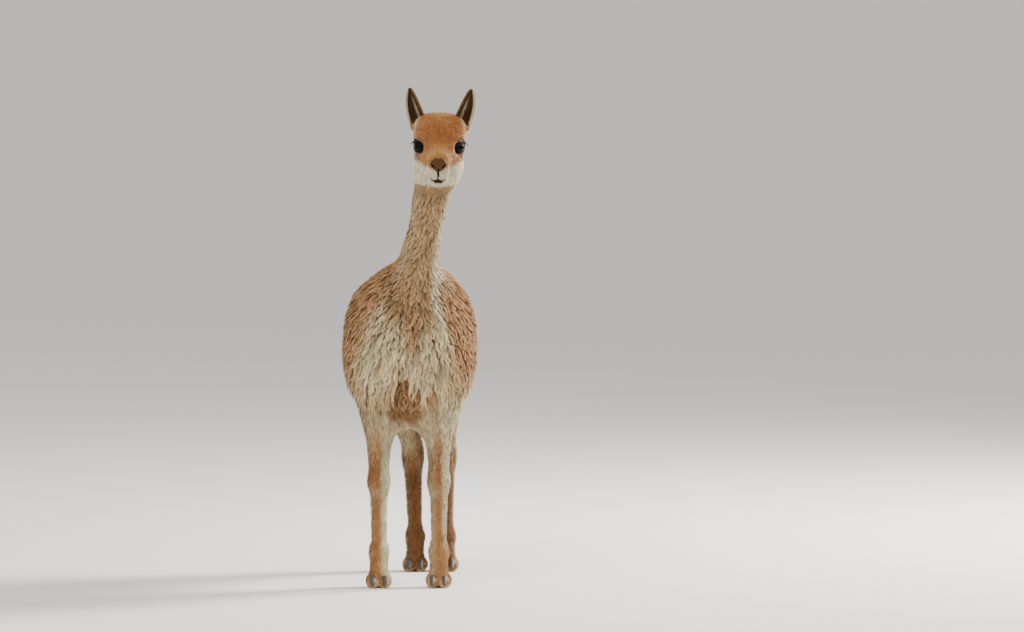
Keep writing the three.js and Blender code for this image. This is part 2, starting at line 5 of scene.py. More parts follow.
import bpy
import numpy as np
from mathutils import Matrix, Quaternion, Vector
from mathutils.kdtree import KDTree
from numpy.random import default_rng


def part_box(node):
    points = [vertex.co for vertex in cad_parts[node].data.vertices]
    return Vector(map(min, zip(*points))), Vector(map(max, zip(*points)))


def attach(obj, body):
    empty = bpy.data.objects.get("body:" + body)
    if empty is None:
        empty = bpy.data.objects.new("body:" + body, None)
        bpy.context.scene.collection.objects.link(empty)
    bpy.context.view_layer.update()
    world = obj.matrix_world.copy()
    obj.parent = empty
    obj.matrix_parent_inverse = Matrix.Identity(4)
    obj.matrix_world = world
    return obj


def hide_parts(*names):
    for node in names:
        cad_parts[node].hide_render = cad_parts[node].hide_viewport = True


# A vicuna standing still, life size, looking straight ahead with its ears up.
# Shapes are worked out in millimetres in the animal's own frame, where it faces -Y and its
# left is +X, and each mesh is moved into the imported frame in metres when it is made.

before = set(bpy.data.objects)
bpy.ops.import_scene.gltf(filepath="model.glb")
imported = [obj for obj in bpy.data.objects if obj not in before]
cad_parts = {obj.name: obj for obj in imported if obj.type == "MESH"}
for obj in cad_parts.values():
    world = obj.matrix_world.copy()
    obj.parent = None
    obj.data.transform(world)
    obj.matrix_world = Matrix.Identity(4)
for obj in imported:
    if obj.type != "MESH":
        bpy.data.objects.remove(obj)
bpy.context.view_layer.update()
LEFT, RIGHT = 1, -1
SIDES = {"left": LEFT, "right": RIGHT}
F = np.float32


def vec(*values):
    return np.array(values, F)


# Driving dimensions, in millimetres
RIB_X = 141
SHOULDER_Y = -200
HIP_Y = 235
HIP_SHIFT = 8
KNEE_Z = 258
HOCK_Z = 284
FETLOCK_Z = 86
FORE_X = {LEFT: 70, RIGHT: -77}
HIND_X = {LEFT: 84, RIGHT: 6}
FORE_TOE_Y = -206
HIND_TOE_Y = 258
TOE = 36
HEAD_AT = vec(74, -428, 1089)
HEAD_PITCH = math.radians(8)
HEAD_ROLL = math.radians(1.3)
EYE_AT = (43, -9, 0)
EYE_RADIUS = 18
EYE_WIDE = 16.2
EYE_HIGH = 11.4
EYE_TILT = 0.12
LID = 3.0
SOCKET_WIDE = 18
EAR_AT = (48, 26, 39)
EAR_LEAN = 0.37
EAR_OPEN = 0.3
EAR_LENGTH = 101
EAR_WIDTH = 40
EAR_THICK = 26
EAR_WALL = 2.2
NECK_FROM = vec(10, -258, 722)
NECK_TO = vec(66, -378, 985)
TAIL_PATH = [
    (HIP_SHIFT + x, y, z)
    for x, y, z in ((0, 322, 722), (0, 358, 708), (0, 382, 650), (-2, 383, 585), (-4, 372, 520))
]
TAIL_RADII = (14, 15, 15, 12, 6)


def turn_x(angle):
    c, s = math.cos(angle), math.sin(angle)
    return np.array([[1, 0, 0], [0, c, -s], [0, s, c]], F)


def turn_y(angle):
    c, s = math.cos(angle), math.sin(angle)
    return np.array([[c, 0, s], [0, 1, 0], [-s, 0, c]], F)


HEAD_TURN = turn_y(HEAD_ROLL) @ turn_x(HEAD_PITCH)


def into_head(p):
    return (p - HEAD_AT) @ HEAD_TURN


def from_head(q):
    return np.asarray(q, F) @ HEAD_TURN.T + HEAD_AT


def dot(a, b):
    return np.einsum("ij,ij->i", a, b)


def norm(v):
    return np.linalg.norm(v, axis=-1)


def unit(v):
    return v / np.maximum(np.linalg.norm(v, axis=-1, keepdims=True), 1e-9)


def step(low, high, x):
    """0 below low and 1 above high, smooth between."""
    t = np.clip((x - low) / (high - low), 0, 1)
    return t * t * (3 - 2 * t)


def hump(x, middle, width):
    """1 at the middle, and near 0 from twice the width away."""
    return np.exp(-(((x - middle) / width) ** 2))


def mix(a, b, t):
    t = np.asarray(t)
    return a + (b - a) * (t[..., None] if np.ndim(a) > t.ndim or np.ndim(b) > t.ndim else t)


def blended(base, *layers):
    """Three numbers for each point: the base, with each (values, share) layer over it in turn."""
    out = np.broadcast_to(base, (*np.shape(layers[0][1]), 3))
    for over, share in layers:
        out = mix(out, over, share)
    return out


def packed_middle(node):
    low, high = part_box(node)
    return np.array((low + high) / 2) * 1000


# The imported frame: the eyes tell how far the origin was moved.
SHIFT = (packed_middle("eye_left") + packed_middle("eye_right")) / 2 - from_head((0, *EYE_AT[1:]))


def to_frame(p):
    return (np.asarray(p, np.float64) + SHIFT) / 1000


# The field: how far a point is outside the flesh


def limb(a, b, ra, rb, blend=40, thin=1):
    """Tapers from radius ra at a to rb at b, and is thin along X where thin is under 1."""
    return {"a": vec(*a), "b": vec(*b), "ra": ra, "rb": rb, "blend": blend, "scale": vec(thin, 1, 1)}


def lobe(centre, size, blend=40):
    return {**limb(centre, centre, 1, 1, blend), "scale": vec(*size)}


def reach(p, s):
    ab = s["b"] - s["a"]
    length2 = float(ab @ ab)
    away = p - s["a"]
    t = np.clip(away @ ab / length2, 0, 1).astype(F) if length2 > 0 else np.zeros(len(p), F)
    away = (away - t[:, None] * ab) / s["scale"]
    radius = s["ra"] + (s["rb"] - s["ra"]) * t
    return (np.sqrt(dot(away, away)) - radius) * float(s["scale"].min())


def melt(d, e, k):
    """The smaller of two distances, with the crease between them filled over k."""
    near = np.maximum(k - np.abs(d - e), 0) / k
    return np.minimum(d, e) - near * near * (k / 4)


def carve(d, e, k):
    """What is in d and not in e, with the edge rounded over k."""
    return -melt(-d, e, k)


def reach_all(p, shapes):
    d = reach(p, shapes[0])
    for s in shapes[1:]:
        d = melt(d, reach(p, s), s["blend"])
    return d


def both_sides(*lobes):
    """Lobes given for the left side, and the same for the right."""
    return [lobe((s * x, y, z), size, blend) for s in (LEFT, RIGHT) for (x, y, z), size, blend in lobes]


TRUNK = [
    limb((0, -195, 606), (0, 60, 598), 190, 186, thin=RIB_X / 190),
    limb((0, 60, 598), (HIP_SHIFT, 215, 630), 186, 138, 50, 0.76),
    lobe((0, SHOULDER_Y - 30, 530), (104, 100, 122), 60),
    *both_sides(((84, SHOULDER_Y, 604), (66, 104, 138), 50)),
    lobe((HIP_SHIFT, HIP_Y, 636), (112, 116, 131), 50),
]
NECK = [
    limb((0, -215, 650), (24, -318, 808), 122, 53, 70, 0.72),
    limb((24, -318, 808), (53, -366, 955), 54, 50, 30, 0.83),
    limb((53, -366, 955), (72, -384, 1074), 50, 50, 20, 0.88),
]


def toes(x, y):
    return [limb((x + s * 13, y, 17), (x + s * 15, y - TOE, 12), 20, 15, 6) for s in (LEFT, RIGHT)]


def foreleg(s):
    x = FORE_X[s]
    return [
        limb((x, -188, 535), (x, -198, 272), 60, 29, thin=0.8),
        lobe((x, -201, KNEE_Z), (25.5, 29, 31), 22),
        limb((x, -196, 245), (x, -190, 98), 24, 20, 16, 0.95),
        lobe((x, -192, FETLOCK_Z), (24, 26, 25), 16),
        limb((x, -194, 78), (x, -214, 36), 22, 24, 14),
        *toes(x, FORE_TOE_Y),
    ]


def hindleg(s):
    hip, hoof = HIP_SHIFT + s * 64, HIND_X[s]
    stifle, hock = hip + (hoof - hip) * 0.3, hip + (hoof - hip) * 0.9
    return [
        limb((hip, 222, 630), (stifle, 176, 488), 106, 74, 60, 0.66),
        limb((hip, 292, 606), (stifle, 258, 450), 74, 46, 50, 0.8),
        limb((stifle, 190, 480), (hock, 286, HOCK_Z + 22), 68, 31, thin=0.74),
        lobe((hock, 298, HOCK_Z + 8), (24, 34, 38), 24),
        limb((hock, 292, HOCK_Z - 14), (hoof, 272, 98), 27, 20, 18, 0.9),
        lobe((hoof, 272, FETLOCK_Z), (24, 26, 25), 16),
        limb((hoof, 270, 78), (hoof, 250, 36), 22, 24, 14),
        *toes(hoof, HIND_TOE_Y),
    ]


LEGS = [foreleg(LEFT), foreleg(RIGHT), hindleg(LEFT), hindleg(RIGHT)]
TAIL_CORE = [
    limb(a, b, ra, rb, 12)
    for a, b, ra, rb in zip(TAIL_PATH, TAIL_PATH[1:], TAIL_RADII, TAIL_RADII[1:])
]

SKULL = [
    lobe((0, 30, 28), (58, 62, 49)),
    *both_sides(((33, 28, 40), (25, 34, 26), 26), ((41, -6, 16), (17, 26, 15), 16)),
    limb((0, -6, 12), (0, -101, -23), 49, 25, 24, 0.86),
    lobe((0, -90, -19), (22, 26, 25), 18),
    lobe((0, -117, -16), (18, 12, 17), 18),
    *both_sides(
        ((11, -107, -45), (15, 16, 16), 10),
        ((30, 8, -32), (27, 50, 42), 26),
        ((24, 26, -58), (30, 40, 40), 26),
    ),
]
JAW = [limb((0, 10, -60), (0, -88, -63), 28, 16, 14), lobe((0, -98, -67), (16, 13, 13), 10)]


def eye_centre(s):
    return vec(s * EYE_AT[0], *EYE_AT[1:])


def eye_axes(s):
    """The eye's own X, Y (outwards) and Z, in the head's frame."""
    gaze = unit(vec(s * 0.7, -0.71, 0.08))
    side = unit(np.cross(gaze, (0, 0, 1)))
    return np.stack([side, gaze, np.cross(side, gaze)])


def in_eye(q, s):
    return (q - eye_centre(s)) @ eye_axes(s).T


def eye_distance(q, s):
    return norm(q - eye_centre(s))


def eye_opening(q, s):
    """How far outside the almond between the lids, and how far in front of the eye's middle."""
    e = in_eye(q, s)
    away = norm(e)
    x, _, z = (e * (EYE_RADIUS / np.maximum(away, EYE_RADIUS))[:, None]).T
    high = z + EYE_TILT * x * s
    across = np.abs(x) / EYE_WIDE
    up = np.abs(high) / np.where(high > 0, EYE_HIGH, EYE_HIGH * 0.94)
    outside = ((across**1.8 + up**2.0) ** 0.5 - 1) * EYE_HIGH
    return outside + 2 * np.maximum(away - EYE_RADIUS - 14, 0), e[:, 1]


MOUTH_FRONT = vec(0, -112, -63)
MOUTH_TURN = turn_x(math.atan2(11, 60))


def in_mouth(q):
    """Places about the mouth: across, backwards, and above the line where the lips meet."""
    m = (q - MOUTH_FRONT) @ MOUTH_TURN
    side = np.abs(m[:, 0])
    line = 3.0 * hump(side, 0, 4.5) - 2.2 * hump(side, 9, 6)
    m[:, 2] -= line * step(26, 6, m[:, 1])
    return m


def head_height(q):
    """How far above the eyes, straight up."""
    return q[:, 1] * math.sin(HEAD_PITCH) + q[:, 2] * math.cos(HEAD_PITCH)


def socket(q, s):
    """Below zero where the brow and cheek give way to the lids: a cone about the gaze."""
    e = in_eye(q, s)
    cone = 0.7 * (np.hypot(e[:, 0], e[:, 2]) - SOCKET_WIDE - (e[:, 1] - 10))
    return np.maximum(cone, EYE_RADIUS + LID - norm(e))


def head_reach(q):
    d = melt(reach_all(q, SKULL), reach_all(q, JAW), 14)
    for s in (LEFT, RIGHT):
        d = melt(d, eye_distance(q, s) - (EYE_RADIUS + LID), 7)
        d = carve(d, socket(q, s), 6)
    return d


def slit(x, y, z, size):
    """The field of a flat ellipsoid, whose half width comes first in size."""
    return (np.sqrt((x / size[0]) ** 2 + (y / size[1]) ** 2 + (z / size[2]) ** 2) - 1) * size[0]


def with_nostril(q, d, s):
    """A slanted, curled slit with a raised wing round it."""
    x, y, z = (q - vec(s * 13.5, -124, -27)).T
    slant = -s * 0.75
    along = x * math.sin(slant) - z * math.cos(slant)
    curl = x * math.cos(slant) + z * math.sin(slant) + 0.035 * s * along**2
    wing = hump(np.hypot(curl / 1.3, along / 2.2), 5, 2.2) * step(-14, -4, -y - 12)
    return carve(d - wing, slit(curl, y, along, (2.4, 9, 7.5)), 1.4)


def head_details(q, d):
    """The lids, nostrils, cleft and mouth in a head whose plain surface is d."""
    plain = d
    for s in (LEFT, RIGHT):
        edge, front = eye_opening(q, s)
        d = d + 0.9 * (hump(edge, 5.5, 1.6) * step(8, 14, front))
        d = d - 0.7 * (hump(edge, 1.6, 1.5) * step(6, 12, front))
        d = carve(d, np.maximum(edge, 2 - front), 1.0)
        d = with_nostril(q, d, s)
    d = carve(d, slit(q[:, 0], q[:, 1] + 125, q[:, 2] + 40, (1.2, 9, 15)), 1.6)
    _, back, up = in_mouth(q).T
    lips = hump(np.abs(up), 3.4, 2.2) * step(70, 50, back)
    d = d - 0.9 * lips * step(14, 0, np.abs(plain))
    groove = np.maximum(np.maximum(np.abs(up) - 0.8, -(plain + 5.5)), back - 60)
    return carve(d, groove, 1.2)


def flesh_reach(p):
    """The whole animal's field, taken in slabs, because far limbs are left out of a slab."""
    out = np.empty(len(p), F)
    order = np.argsort(p[:, 2], kind="stable")
    for part in np.array_split(order, max(1, len(p) // 60000)):
        out[part] = flesh_slab(p[part], True)
    return out


def near_slab(shapes, low, high):
    margin = 90

    def span(s):
        most = max(s["ra"], s["rb"]) * float(s["scale"][2]) + margin
        return min(s["a"][2], s["b"][2]) - most, max(s["a"][2], s["b"][2]) + most

    return [s for s in shapes if span(s)[0] < high and span(s)[1] > low]


def flesh_slab(p, details):
    low, high = float(p[:, 2].min()), float(p[:, 2].max())
    trunk, neck, tail = (near_slab(g, low, high) for g in (TRUNK, NECK, TAIL_CORE))
    body = reach_all(p, trunk) if trunk else np.full(len(p), 400, F)
    if neck:
        body = melt(body, reach_all(p, neck), 60)
    d = body
    for leg in LEGS:
        shapes = near_slab(leg, low, high)
        if shapes:
            d = np.minimum(d, melt(body, reach_all(p, shapes), 60))
    if tail:
        d = melt(d, reach_all(p, tail), 10)
    head_bottom = 900
    if high > head_bottom:
        q = into_head(p)
        inside = p[:, 2] > head_bottom
        d = np.where(inside, melt(d, np.where(inside, head_reach(q), 400), 26), d)
        if details:
            d = np.where(inside, head_details(q, d), d)
    return d


# The skin: one closed surface where the field crosses zero, with small cells on the head


def spaced(*spans):
    """Grid lines from (start, stop, cell) spans laid end to end."""
    lines = [np.linspace(a, b, max(2, round((b - a) / cell) + 1)) for a, b, cell in spans]
    return np.unique(np.concatenate(lines).round(4)).astype(F)


GRID = (
    spaced((-182, 0, 7), (0, 144, 2.4), (144, 186, 7)),
    spaced((-574, -300, 2.5), (-300, 430, 7)),
    spaced((-9, 70, 5), (70, 980, 7), (980, 1185, 2.4)),
)
CORNERS = [(i, j, k) for i in (0, 1) for j in (0, 1) for k in (0, 1)]
EDGES = [(a, b) for a in CORNERS for b in CORNERS if a < b and math.dist(a, b) == 1]


def field_on_grid():
    """The field with the head's details, cut flat at the floor, and the plain field."""
    x, y = np.meshgrid(GRID[0], GRID[1], indexing="ij")
    plain = np.empty(tuple(len(g) for g in GRID), F)
    value = np.empty_like(plain)
    for k, z in enumerate(GRID[2]):
        p = np.stack([x.ravel(), y.ravel(), np.full(x.size, z, F)], 1)
        plain[:, :, k] = flesh_slab(p, False).reshape(x.shape)
        value[:, :, k] = flesh_slab(p, True).reshape(x.shape) if z > 930 else plain[:, :, k]
    return np.maximum(value, -GRID[2]), plain


def net(value):
    """Surface nets: a point in each cell that the surface crosses, and a quad for each edge."""
    inside = value < 0
    nx, ny, nz = value.shape
    cell_in = np.zeros((nx - 1, ny - 1, nz - 1), np.int8)
    for i, j, k in CORNERS:
        cell_in += inside[i : nx - 1 + i, j : ny - 1 + j, k : nz - 1 + k]
    active = np.argwhere((cell_in > 0) & (cell_in < len(CORNERS)))
    index = -np.ones(cell_in.shape, np.int64)
    index[tuple(active.T)] = np.arange(len(active))

    def at(offset):
        ijk = active + np.array(offset)
        place = np.stack([GRID[a][ijk[:, a]] for a in range(3)], 1)
        return value[tuple(ijk.T)], place

    total = np.zeros((len(active), 3), np.float64)
    count = np.zeros(len(active))
    for (va, pa), (vb, pb) in ((at(a), at(b)) for a, b in EDGES):
        cross = (va < 0) != (vb < 0)
        t = np.where(cross, va / np.where(cross, va - vb, 1), 0)
        total += np.where(cross[:, None], pa + (pb - pa) * t[:, None], 0)
        count += cross

    faces = []
    units = np.eye(3, dtype=int)
    for axis in range(3):
        u, v = units[(axis + 1) % 3], units[(axis + 2) % 3]
        here = [slice(1, n - 1) for n in value.shape]
        ahead = list(here)
        ahead[axis] = slice(2, value.shape[axis])
        edge = np.argwhere(inside[tuple(here)] != inside[tuple(ahead)]) + 1
        ring = [index[tuple((edge - m * u - n * v).T)] for m, n in ((0, 0), (1, 0), (1, 1), (0, 1))]
        quad = np.stack(ring, 1)
        flip = ~inside[tuple(edge.T)]
        quad[flip] = quad[flip][:, ::-1]
        faces.append(quad)
    return (total / count[:, None]).astype(F), np.concatenate(faces)


def relax(points, faces, weight=0.5, turns=2):
    """Evens out the net's points along the surface before they settle on it."""
    for _ in range(turns):
        total = np.zeros_like(points)
        count = np.zeros(len(points))
        for a, b in ((0, 1), (1, 2), (2, 3), (3, 0)):
            for m, n in ((a, b), (b, a)):
                np.add.at(total, faces[:, m], points[faces[:, n]])
                np.add.at(count, faces[:, m], 1)
        points = points + weight * (total / count[:, None] - points)
    return points


def slope(p, h=0.6):
    """The field at p and its slope."""
    d = flesh_reach(p)
    ahead = [flesh_reach(p + F(h) * np.eye(3, dtype=F)[a]) for a in range(3)]
    return d, np.stack([there - d for there in ahead], 1) / h


def settle(p, turns=4, most=3.0):
    """Points moved down the field's slope onto the surface, at most so far in a turn."""
    for _ in range(turns):
        d, g = slope(p)
        move = -g * (d / np.maximum(dot(g, g), 0.25))[:, None]
        p = p + move * np.minimum(1, most / np.maximum(norm(move)[:, None], 1e-6))
    return p


VALUE, PLAIN = field_on_grid()
SLOPE = [np.gradient(PLAIN, GRID[a], axis=a) for a in range(3)]


def sample(p):
    """The plain field and its slope at any points, read between the grid lines."""
    index, part = [], []
    for a in range(3):
        i = np.clip(np.searchsorted(GRID[a], p[:, a]) - 1, 0, len(GRID[a]) - 2)
        index.append(i)
        part.append(np.clip((p[:, a] - GRID[a][i]) / (GRID[a][i + 1] - GRID[a][i]), 0, 1))
    out = [0, 0, 0, 0]
    for corner in CORNERS:
        w = math.prod(part[a] if corner[a] else 1 - part[a] for a in range(3))
        where = tuple(index[a] + corner[a] for a in range(3))
        out = [o + w * g[where] for o, g in zip(out, [PLAIN, *SLOPE])]
    return out[0].astype(F), np.stack(out[1:], 1).astype(F)


# Regions of the coat

NECK_WAY = unit(NECK_TO - NECK_FROM)
NECK_LONG = float(np.linalg.norm(NECK_TO - NECK_FROM))


def along_neck(p):
    """0 where the neck leaves the chest and 1 where it meets the head."""
    return (p - NECK_FROM) @ NECK_WAY / NECK_LONG


def on_head(p):
    return step(0.92, 1.08, along_neck(p)) * step(930, 985, p[:, 2])


def wobble(p, size, seed):
    """A smooth random value between -1 and 1 over space, that changes over `size`."""
    draw = default_rng(seed)
    total = np.zeros(len(p), F)
    for _ in range(6):
        k = unit(draw.normal(size=3)) * (2 * math.pi / size) * draw.uniform(0.6, 1.4)
        total += np.sin(p @ k.astype(F) + F(draw.uniform(0, 2 * math.pi)))
    return total / 3.2


def tail_near(p):
    """How far from the tail's path, and how far along it from 0 to 1."""
    best = np.full(len(p), 1e9, F)
    along = np.zeros(len(p), F)
    for i, (a, b) in enumerate(zip(TAIL_PATH, TAIL_PATH[1:])):
        a, b = vec(*a), vec(*b)
        t = np.clip((p - a) @ (b - a) / float((b - a) @ (b - a)), 0, 1)
        d = norm(p - a - t[:, None] * (b - a))
        along = np.where(d < best, (i + t) / (len(TAIL_PATH) - 1), along)
        best = np.minimum(best, d)
    return best, along


def on_tail(p):
    d, along = tail_near(p)
    return step(24, 18, d) * step(0.08, 0.2, along) * step(330, 350, p[:, 1])


def bib_span(z):
    """The bib's middle and half its width at each height: it narrows upwards."""
    heights = (540, 637, 700, 745)
    return np.interp(z, heights, (-25, -12, -14, 2)), np.interp(z, heights, (120, 102, 78, 44))


def on_bib(p):
    """The front of the chest, where the long cream wool grows."""
    x, y, z = p.T
    middle, half = bib_span(z)
    low = 540 + 50 * hump(x, -6, 24)
    spread = step(10, -10, np.abs(x - middle) - half) * step(-165, -215, y)
    return spread * step(0.18, 0.04, along_neck(p)) * step(-12, 12, z - low)


def on_leg(p):
    return step(450, 380, p[:, 2])


def nose_pad(q):
    """The bare nose: a heart round the nostrils."""
    _, y, z = q.T
    over = np.clip(z + 24, 0, 20) / 17
    under = np.clip(-24 - z, 0, 20) / 17
    half = 20 - 11 * over**2.2 - 16 * under**1.5
    across = step(half + 1.5, half - 1, np.abs(q[:, 0]))
    return across * step(-5, -8, z) * step(-43, -39, z) * step(-106, -110, y)


def mouth_dark(q):
    """The dark line of the mouth, the bowl of the lower lip and the cleft over it."""
    x, y, z = q.T
    m = in_mouth(q)
    line = step(2.4, 1.4, np.abs(m[:, 2])) * step(62, 50, m[:, 1])
    side = np.abs(m[:, 0]) / 15
    bowl = step(-13.5, -11.5, m[:, 2] - 11 * side**2) * step(1, -1, m[:, 2])
    lower = bowl * step(1.15, 0.9, side) * step(16, 8, m[:, 1])
    cleft = step(3.4, 2.2, np.abs(x)) * step(-61, -55, z) * step(-32, -36, z) * step(-112, -115, y)
    return np.maximum(np.maximum(line, lower), cleft)


def coat_depth(p):
    """How far the skin lies under the coat's outside."""
    q, z = into_head(p), p[:, 2]
    d = 12 - 3.5 * step(0.0, 0.4, along_neck(p))
    d = mix(d, 4.0, on_leg(p))
    d = mix(d, 2.4, step(240, 120, z))
    d = mix(d, 1.2, step(40, 20, z))
    d = mix(d, 3.0, on_tail(p))
    face = mix(7.0, 2.4, step(34, 8, q[:, 2]) * step(30, -10, q[:, 1]))
    muzzle = norm((q - vec(0, -118, -28)) / vec(24, 16, 26))
    face = mix(face, 1.2, step(1.6, 1.0, muzzle))
    for s in (LEFT, RIGHT):
        edge, front = eye_opening(q, s)
        face = mix(face, 0.0, step(7, 3, edge) * step(0, 4, front))
    face = mix(face, 0.0, nose_pad(q))
    return mix(d, face, on_head(p))


# Colours


def colour(code):
    """A named sRGB colour as the linear values that a shader takes."""
    c = np.array([int(code[i : i + 2], 16) for i in (0, 2, 4)]) / 255
    return np.where(c <= 0.04045, c / 12.92, ((c + 0.055) / 1.055) ** 2.4).astype(F)


RUST = colour("a66c3e")
FAWN = colour("b3834f")
SAND = colour("ae8c64")
CREAM = colour("d8cba4")
WHITE = colour("e0d8b8")
UMBER = colour("4e321c")
SOOT = colour("17100d")
TAN = colour("b07d49")
BARK = colour("8a5c33")
BRIDGE = colour("bd8549")
EAR_INSIDE = colour("311b10")
IRIS, IRIS_EDGE, PUPIL = colour("170c07"), colour("080504"), colour("040303")
HORN_DARK, HORN_PALE = colour("231b16"), colour("5a4a3c")


def markings(p, n):
    """The coat's colour at points p, whose outward directions are n, with some painted highlights and
    painted shade in it.
    """
    (x, y, z), (nx, ny, nz) = p.T, n.T
    w = wobble(p, 60, 3) * 0.5 + wobble(p, 23, 4) * 0.5
    neck = along_neck(p)
    at_front, at_shoulder = step(0.1, 0.75, -ny), step(-60, -170, y)
    low_flank = step(580, 480, z + 20 * w) * step(0.3, 0.7, np.abs(nx)) * step(0.5, -0.4, nz)
    rear = step(318, 352, y + 8 * w) * step(680, 620, z) * step(85, 60, np.abs(x - HIP_SHIFT))
    # strip: a white line down the front of the neck on its +X side, partly the neck's own pale edge and
    # partly a painted highlight where the rim light falls on that side only.
    strip = hump(x, 64, 5 + 10 * step(740, 660, z)) * step(0.0, 0.3, -ny)
    collar = step(0, 22, np.abs(x - 10) - (z - 640) * 0.5 + 10 * w)
    middle, half = bib_span(z)
    outer = step(0.55, 1.1, np.abs(x - middle) / half)
    leg_top = 455 + 45 * step(-120, -190, y) * step(40, 65, np.abs(x))
    legs = step(leg_top, leg_top - 55, z + 16 * w) * (1 - 0.6 * step(0.2, -0.5, nz))
    # Painted shade: the brisket between the forelegs, under the chest, darkened towards umber.
    brisket = step(-120, -160, y) * step(375, 430, z + 16 * w) * step(560, 530, z)
    return blended(
        RUST,
        (FAWN, 0.2 + step(-0.5, 0.6, w) * 0.6),
        (SAND, at_shoulder * 0.35),
        (TAN, step(0.3, 0.8, nz) * at_shoulder * 0.5),
        (CREAM, step(470, 425, z + 14 * w) * step(-0.1, -0.7, nz) * 0.8),
        (CREAM, low_flank * 0.6),
        (CREAM, rear * 0.8),
        (neck_markings(n, neck, at_front), step(0.1, 0.45, neck + 0.04 * w)),
        (SAND, at_front * step(-0.4, 0.1, neck) * step(90, 50, np.abs(x - 10)) * 0.7),
        # White down the neck's +X front: partly its pale edge, partly a painted highlight for the rim
        # light.
        (WHITE, strip * step(600, 650, z) * step(840, 790, z)),
        (CREAM, on_bib(p) * collar * (0.85 + 0.15 * step(-0.5, 0.5, w)) * (1 - 0.55 * outer)),
        (leg_markings(p, n, w), legs),
        # Painted shade under the chest, between the forelegs.
        (mix(BARK, UMBER, 0.25), brisket * step(56, 30, np.abs(x + 12) + 10 * w) * 0.9),
        (blended(RUST, (CREAM, step(0.55, 0.95, np.abs(nx)) * 0.8)), on_tail(p)),
        (head_markings(into_head(p), w), on_head(p)),
    )


def neck_markings(n, neck, at_front):
    """Sand in front and fawn behind, with a pale band down each side. The +X band is stronger and wider:
    partly the neck's own pale band, partly a painted highlight where the rim light falls.
    """
    turn = np.arctan2(n[:, 0], -n[:, 1])
    wide = 0.24 + 0.2 * step(0.4, 0.0, neck)
    # The +X band is partly a painted highlight for the rim light on that side; the -X band, at half
    # strength, is the neck's own pale band.
    bands = hump(turn, 1.2, wide + 0.1) + 0.5 * hump(turn, -0.9, wide)
    bands = bands * step(0.8, 0.5, np.abs(n[:, 2]))
    return blended(FAWN, (SAND, at_front), (WHITE, np.minimum(bands, 1)))


def leg_markings(p, n, w):
    """Rust in front, pale inside and behind, and the hind legs dark. White on each foreleg's +X side is
    partly the inner leg's own pale and partly a painted highlight where the rim light falls; the left
    foreleg's lower inside, turned from that light, keeps less pale as painted shade.
    """
    (x, y, z), (nx, ny, _) = p.T, n.T
    is_fore = y < 40
    fore_x = np.where(x > 0, FORE_X[LEFT], FORE_X[RIGHT])
    leg_x = np.where(is_fore, fore_x, np.where(x > 45, *HIND_X.values()))
    inner = np.where(is_fore, -np.sign(x) * nx, 0.5 * np.abs(nx))
    rust_front = step(-0.2, 0.5, -ny + 0.2 * w) * step(400, 290, z + 20 * w)
    # Painted shade: the left foreleg's lower inside, turned from the rim light, is kept less pale.
    low_left = is_fore * (x > 0) * step(380, 320, z)
    # White on each foreleg's +X side: the right foreleg's own pale inside, and a painted highlight where
    # the rim light falls on the left foreleg's outer side.
    pale_side = step(0.1, 0.5, (x - leg_x) / 30 + 0.15 * w) * is_fore
    return blended(
        SAND,
        (RUST, rust_front * 0.75),
        (TAN, step(240, 150, z) * 0.6),
        (CREAM, step(0.0, 0.6, inner) * (0.9 - 0.6 * low_left)),
        (WHITE, pale_side * step(60, 160, z) * 0.75),
        (mix(BARK, UMBER, 0.3), step(40, 100, y) * step(-0.1, 0.5, -ny) * 0.9),
    )


def head_markings(q, w):
    """A rust crown, a tan face, and white from the cheeks to the lips."""
    x, y, z = q.T
    side, high = np.abs(x), head_height(q)
    # Painted shade: darker by the inner corners of the eyes, in the hollows beside the bridge.
    tear = step(10, 3, np.abs(side - 27)) * step(10, 3, np.abs(high + 3))
    cheek = step(10, 3, np.abs(side - 52)) * step(9, 3, np.abs(high + 22))
    crown_edge = 8 - 0.008 * side**2
    pale_edge = -29 - (58 - side) * 0.5 + 3 * w
    pale = step(pale_edge + 6, pale_edge - 6, high) * step(-124, -98, y + side * 0.3)
    nape = step(24, 52, y + 6 * w) * 0.9
    throat = -93 + 0.12 * side
    c = blended(
        TAN,
        (SAND, 0.2 + 0.2 * w),
        (BRIDGE, 0.8 * (step(15, 9, side) * step(0, -20, y))),
        # Painted shade by the eyes' inner corners.
        (BARK, tear * 0.7),
        (BARK, cheek * 0.45),
        (RUST, step(-5, 5, high - crown_edge + 3 * w)),
        (SAND, step(64, 80, z) * 0.6),
        (WHITE, pale),
        (WHITE, step(-45, -58, high) * step(-80, -95, y) * 0.9),
        (FAWN, np.maximum(step(10, 40, y) * step(-30, 0, z) * 0.6, nape)),
        (CREAM, step(46, 58, side) * step(-20, 10, y) * step(-30, -10, high) * 0.6),
        (SAND, step(throat, throat - 6, high) * step(-100, -75, y)),
    )
    for s in (LEFT, RIGHT):
        edge, ahead = eye_opening(q, s)
        near = step(EYE_RADIUS + 9, EYE_RADIUS + 5, eye_distance(q, s))
        c = mix(c, SAND, step(13, 8, edge) * step(0, 6, ahead) * 0.5)
        c = mix(c, SOOT, step(3.6, 2.0, edge) * step(0, 4, ahead) * near)
    return blended(c, (UMBER, nose_pad(q)), (SOOT, mouth_dark(q)))


# Meshes and materials


def add_object(name, data):
    obj = bpy.data.objects.new(name, data)
    bpy.context.collection.objects.link(obj)
    return obj


def mesh_object(name, points, faces):
    mesh = bpy.data.meshes.new(name)
    mesh.from_pydata(to_frame(points), [], faces, shade_flat=False)
    mesh.validate()
    obj = add_object(name, mesh)
    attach(obj, "root")
    return obj


def dress(obj, material, slot, *nodes):
    """Gives a piece its material and hides the solids that it stands for, if any. The slot is not used.
    """
    obj.data.materials.append(material)
    if nodes:
        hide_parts(*nodes)


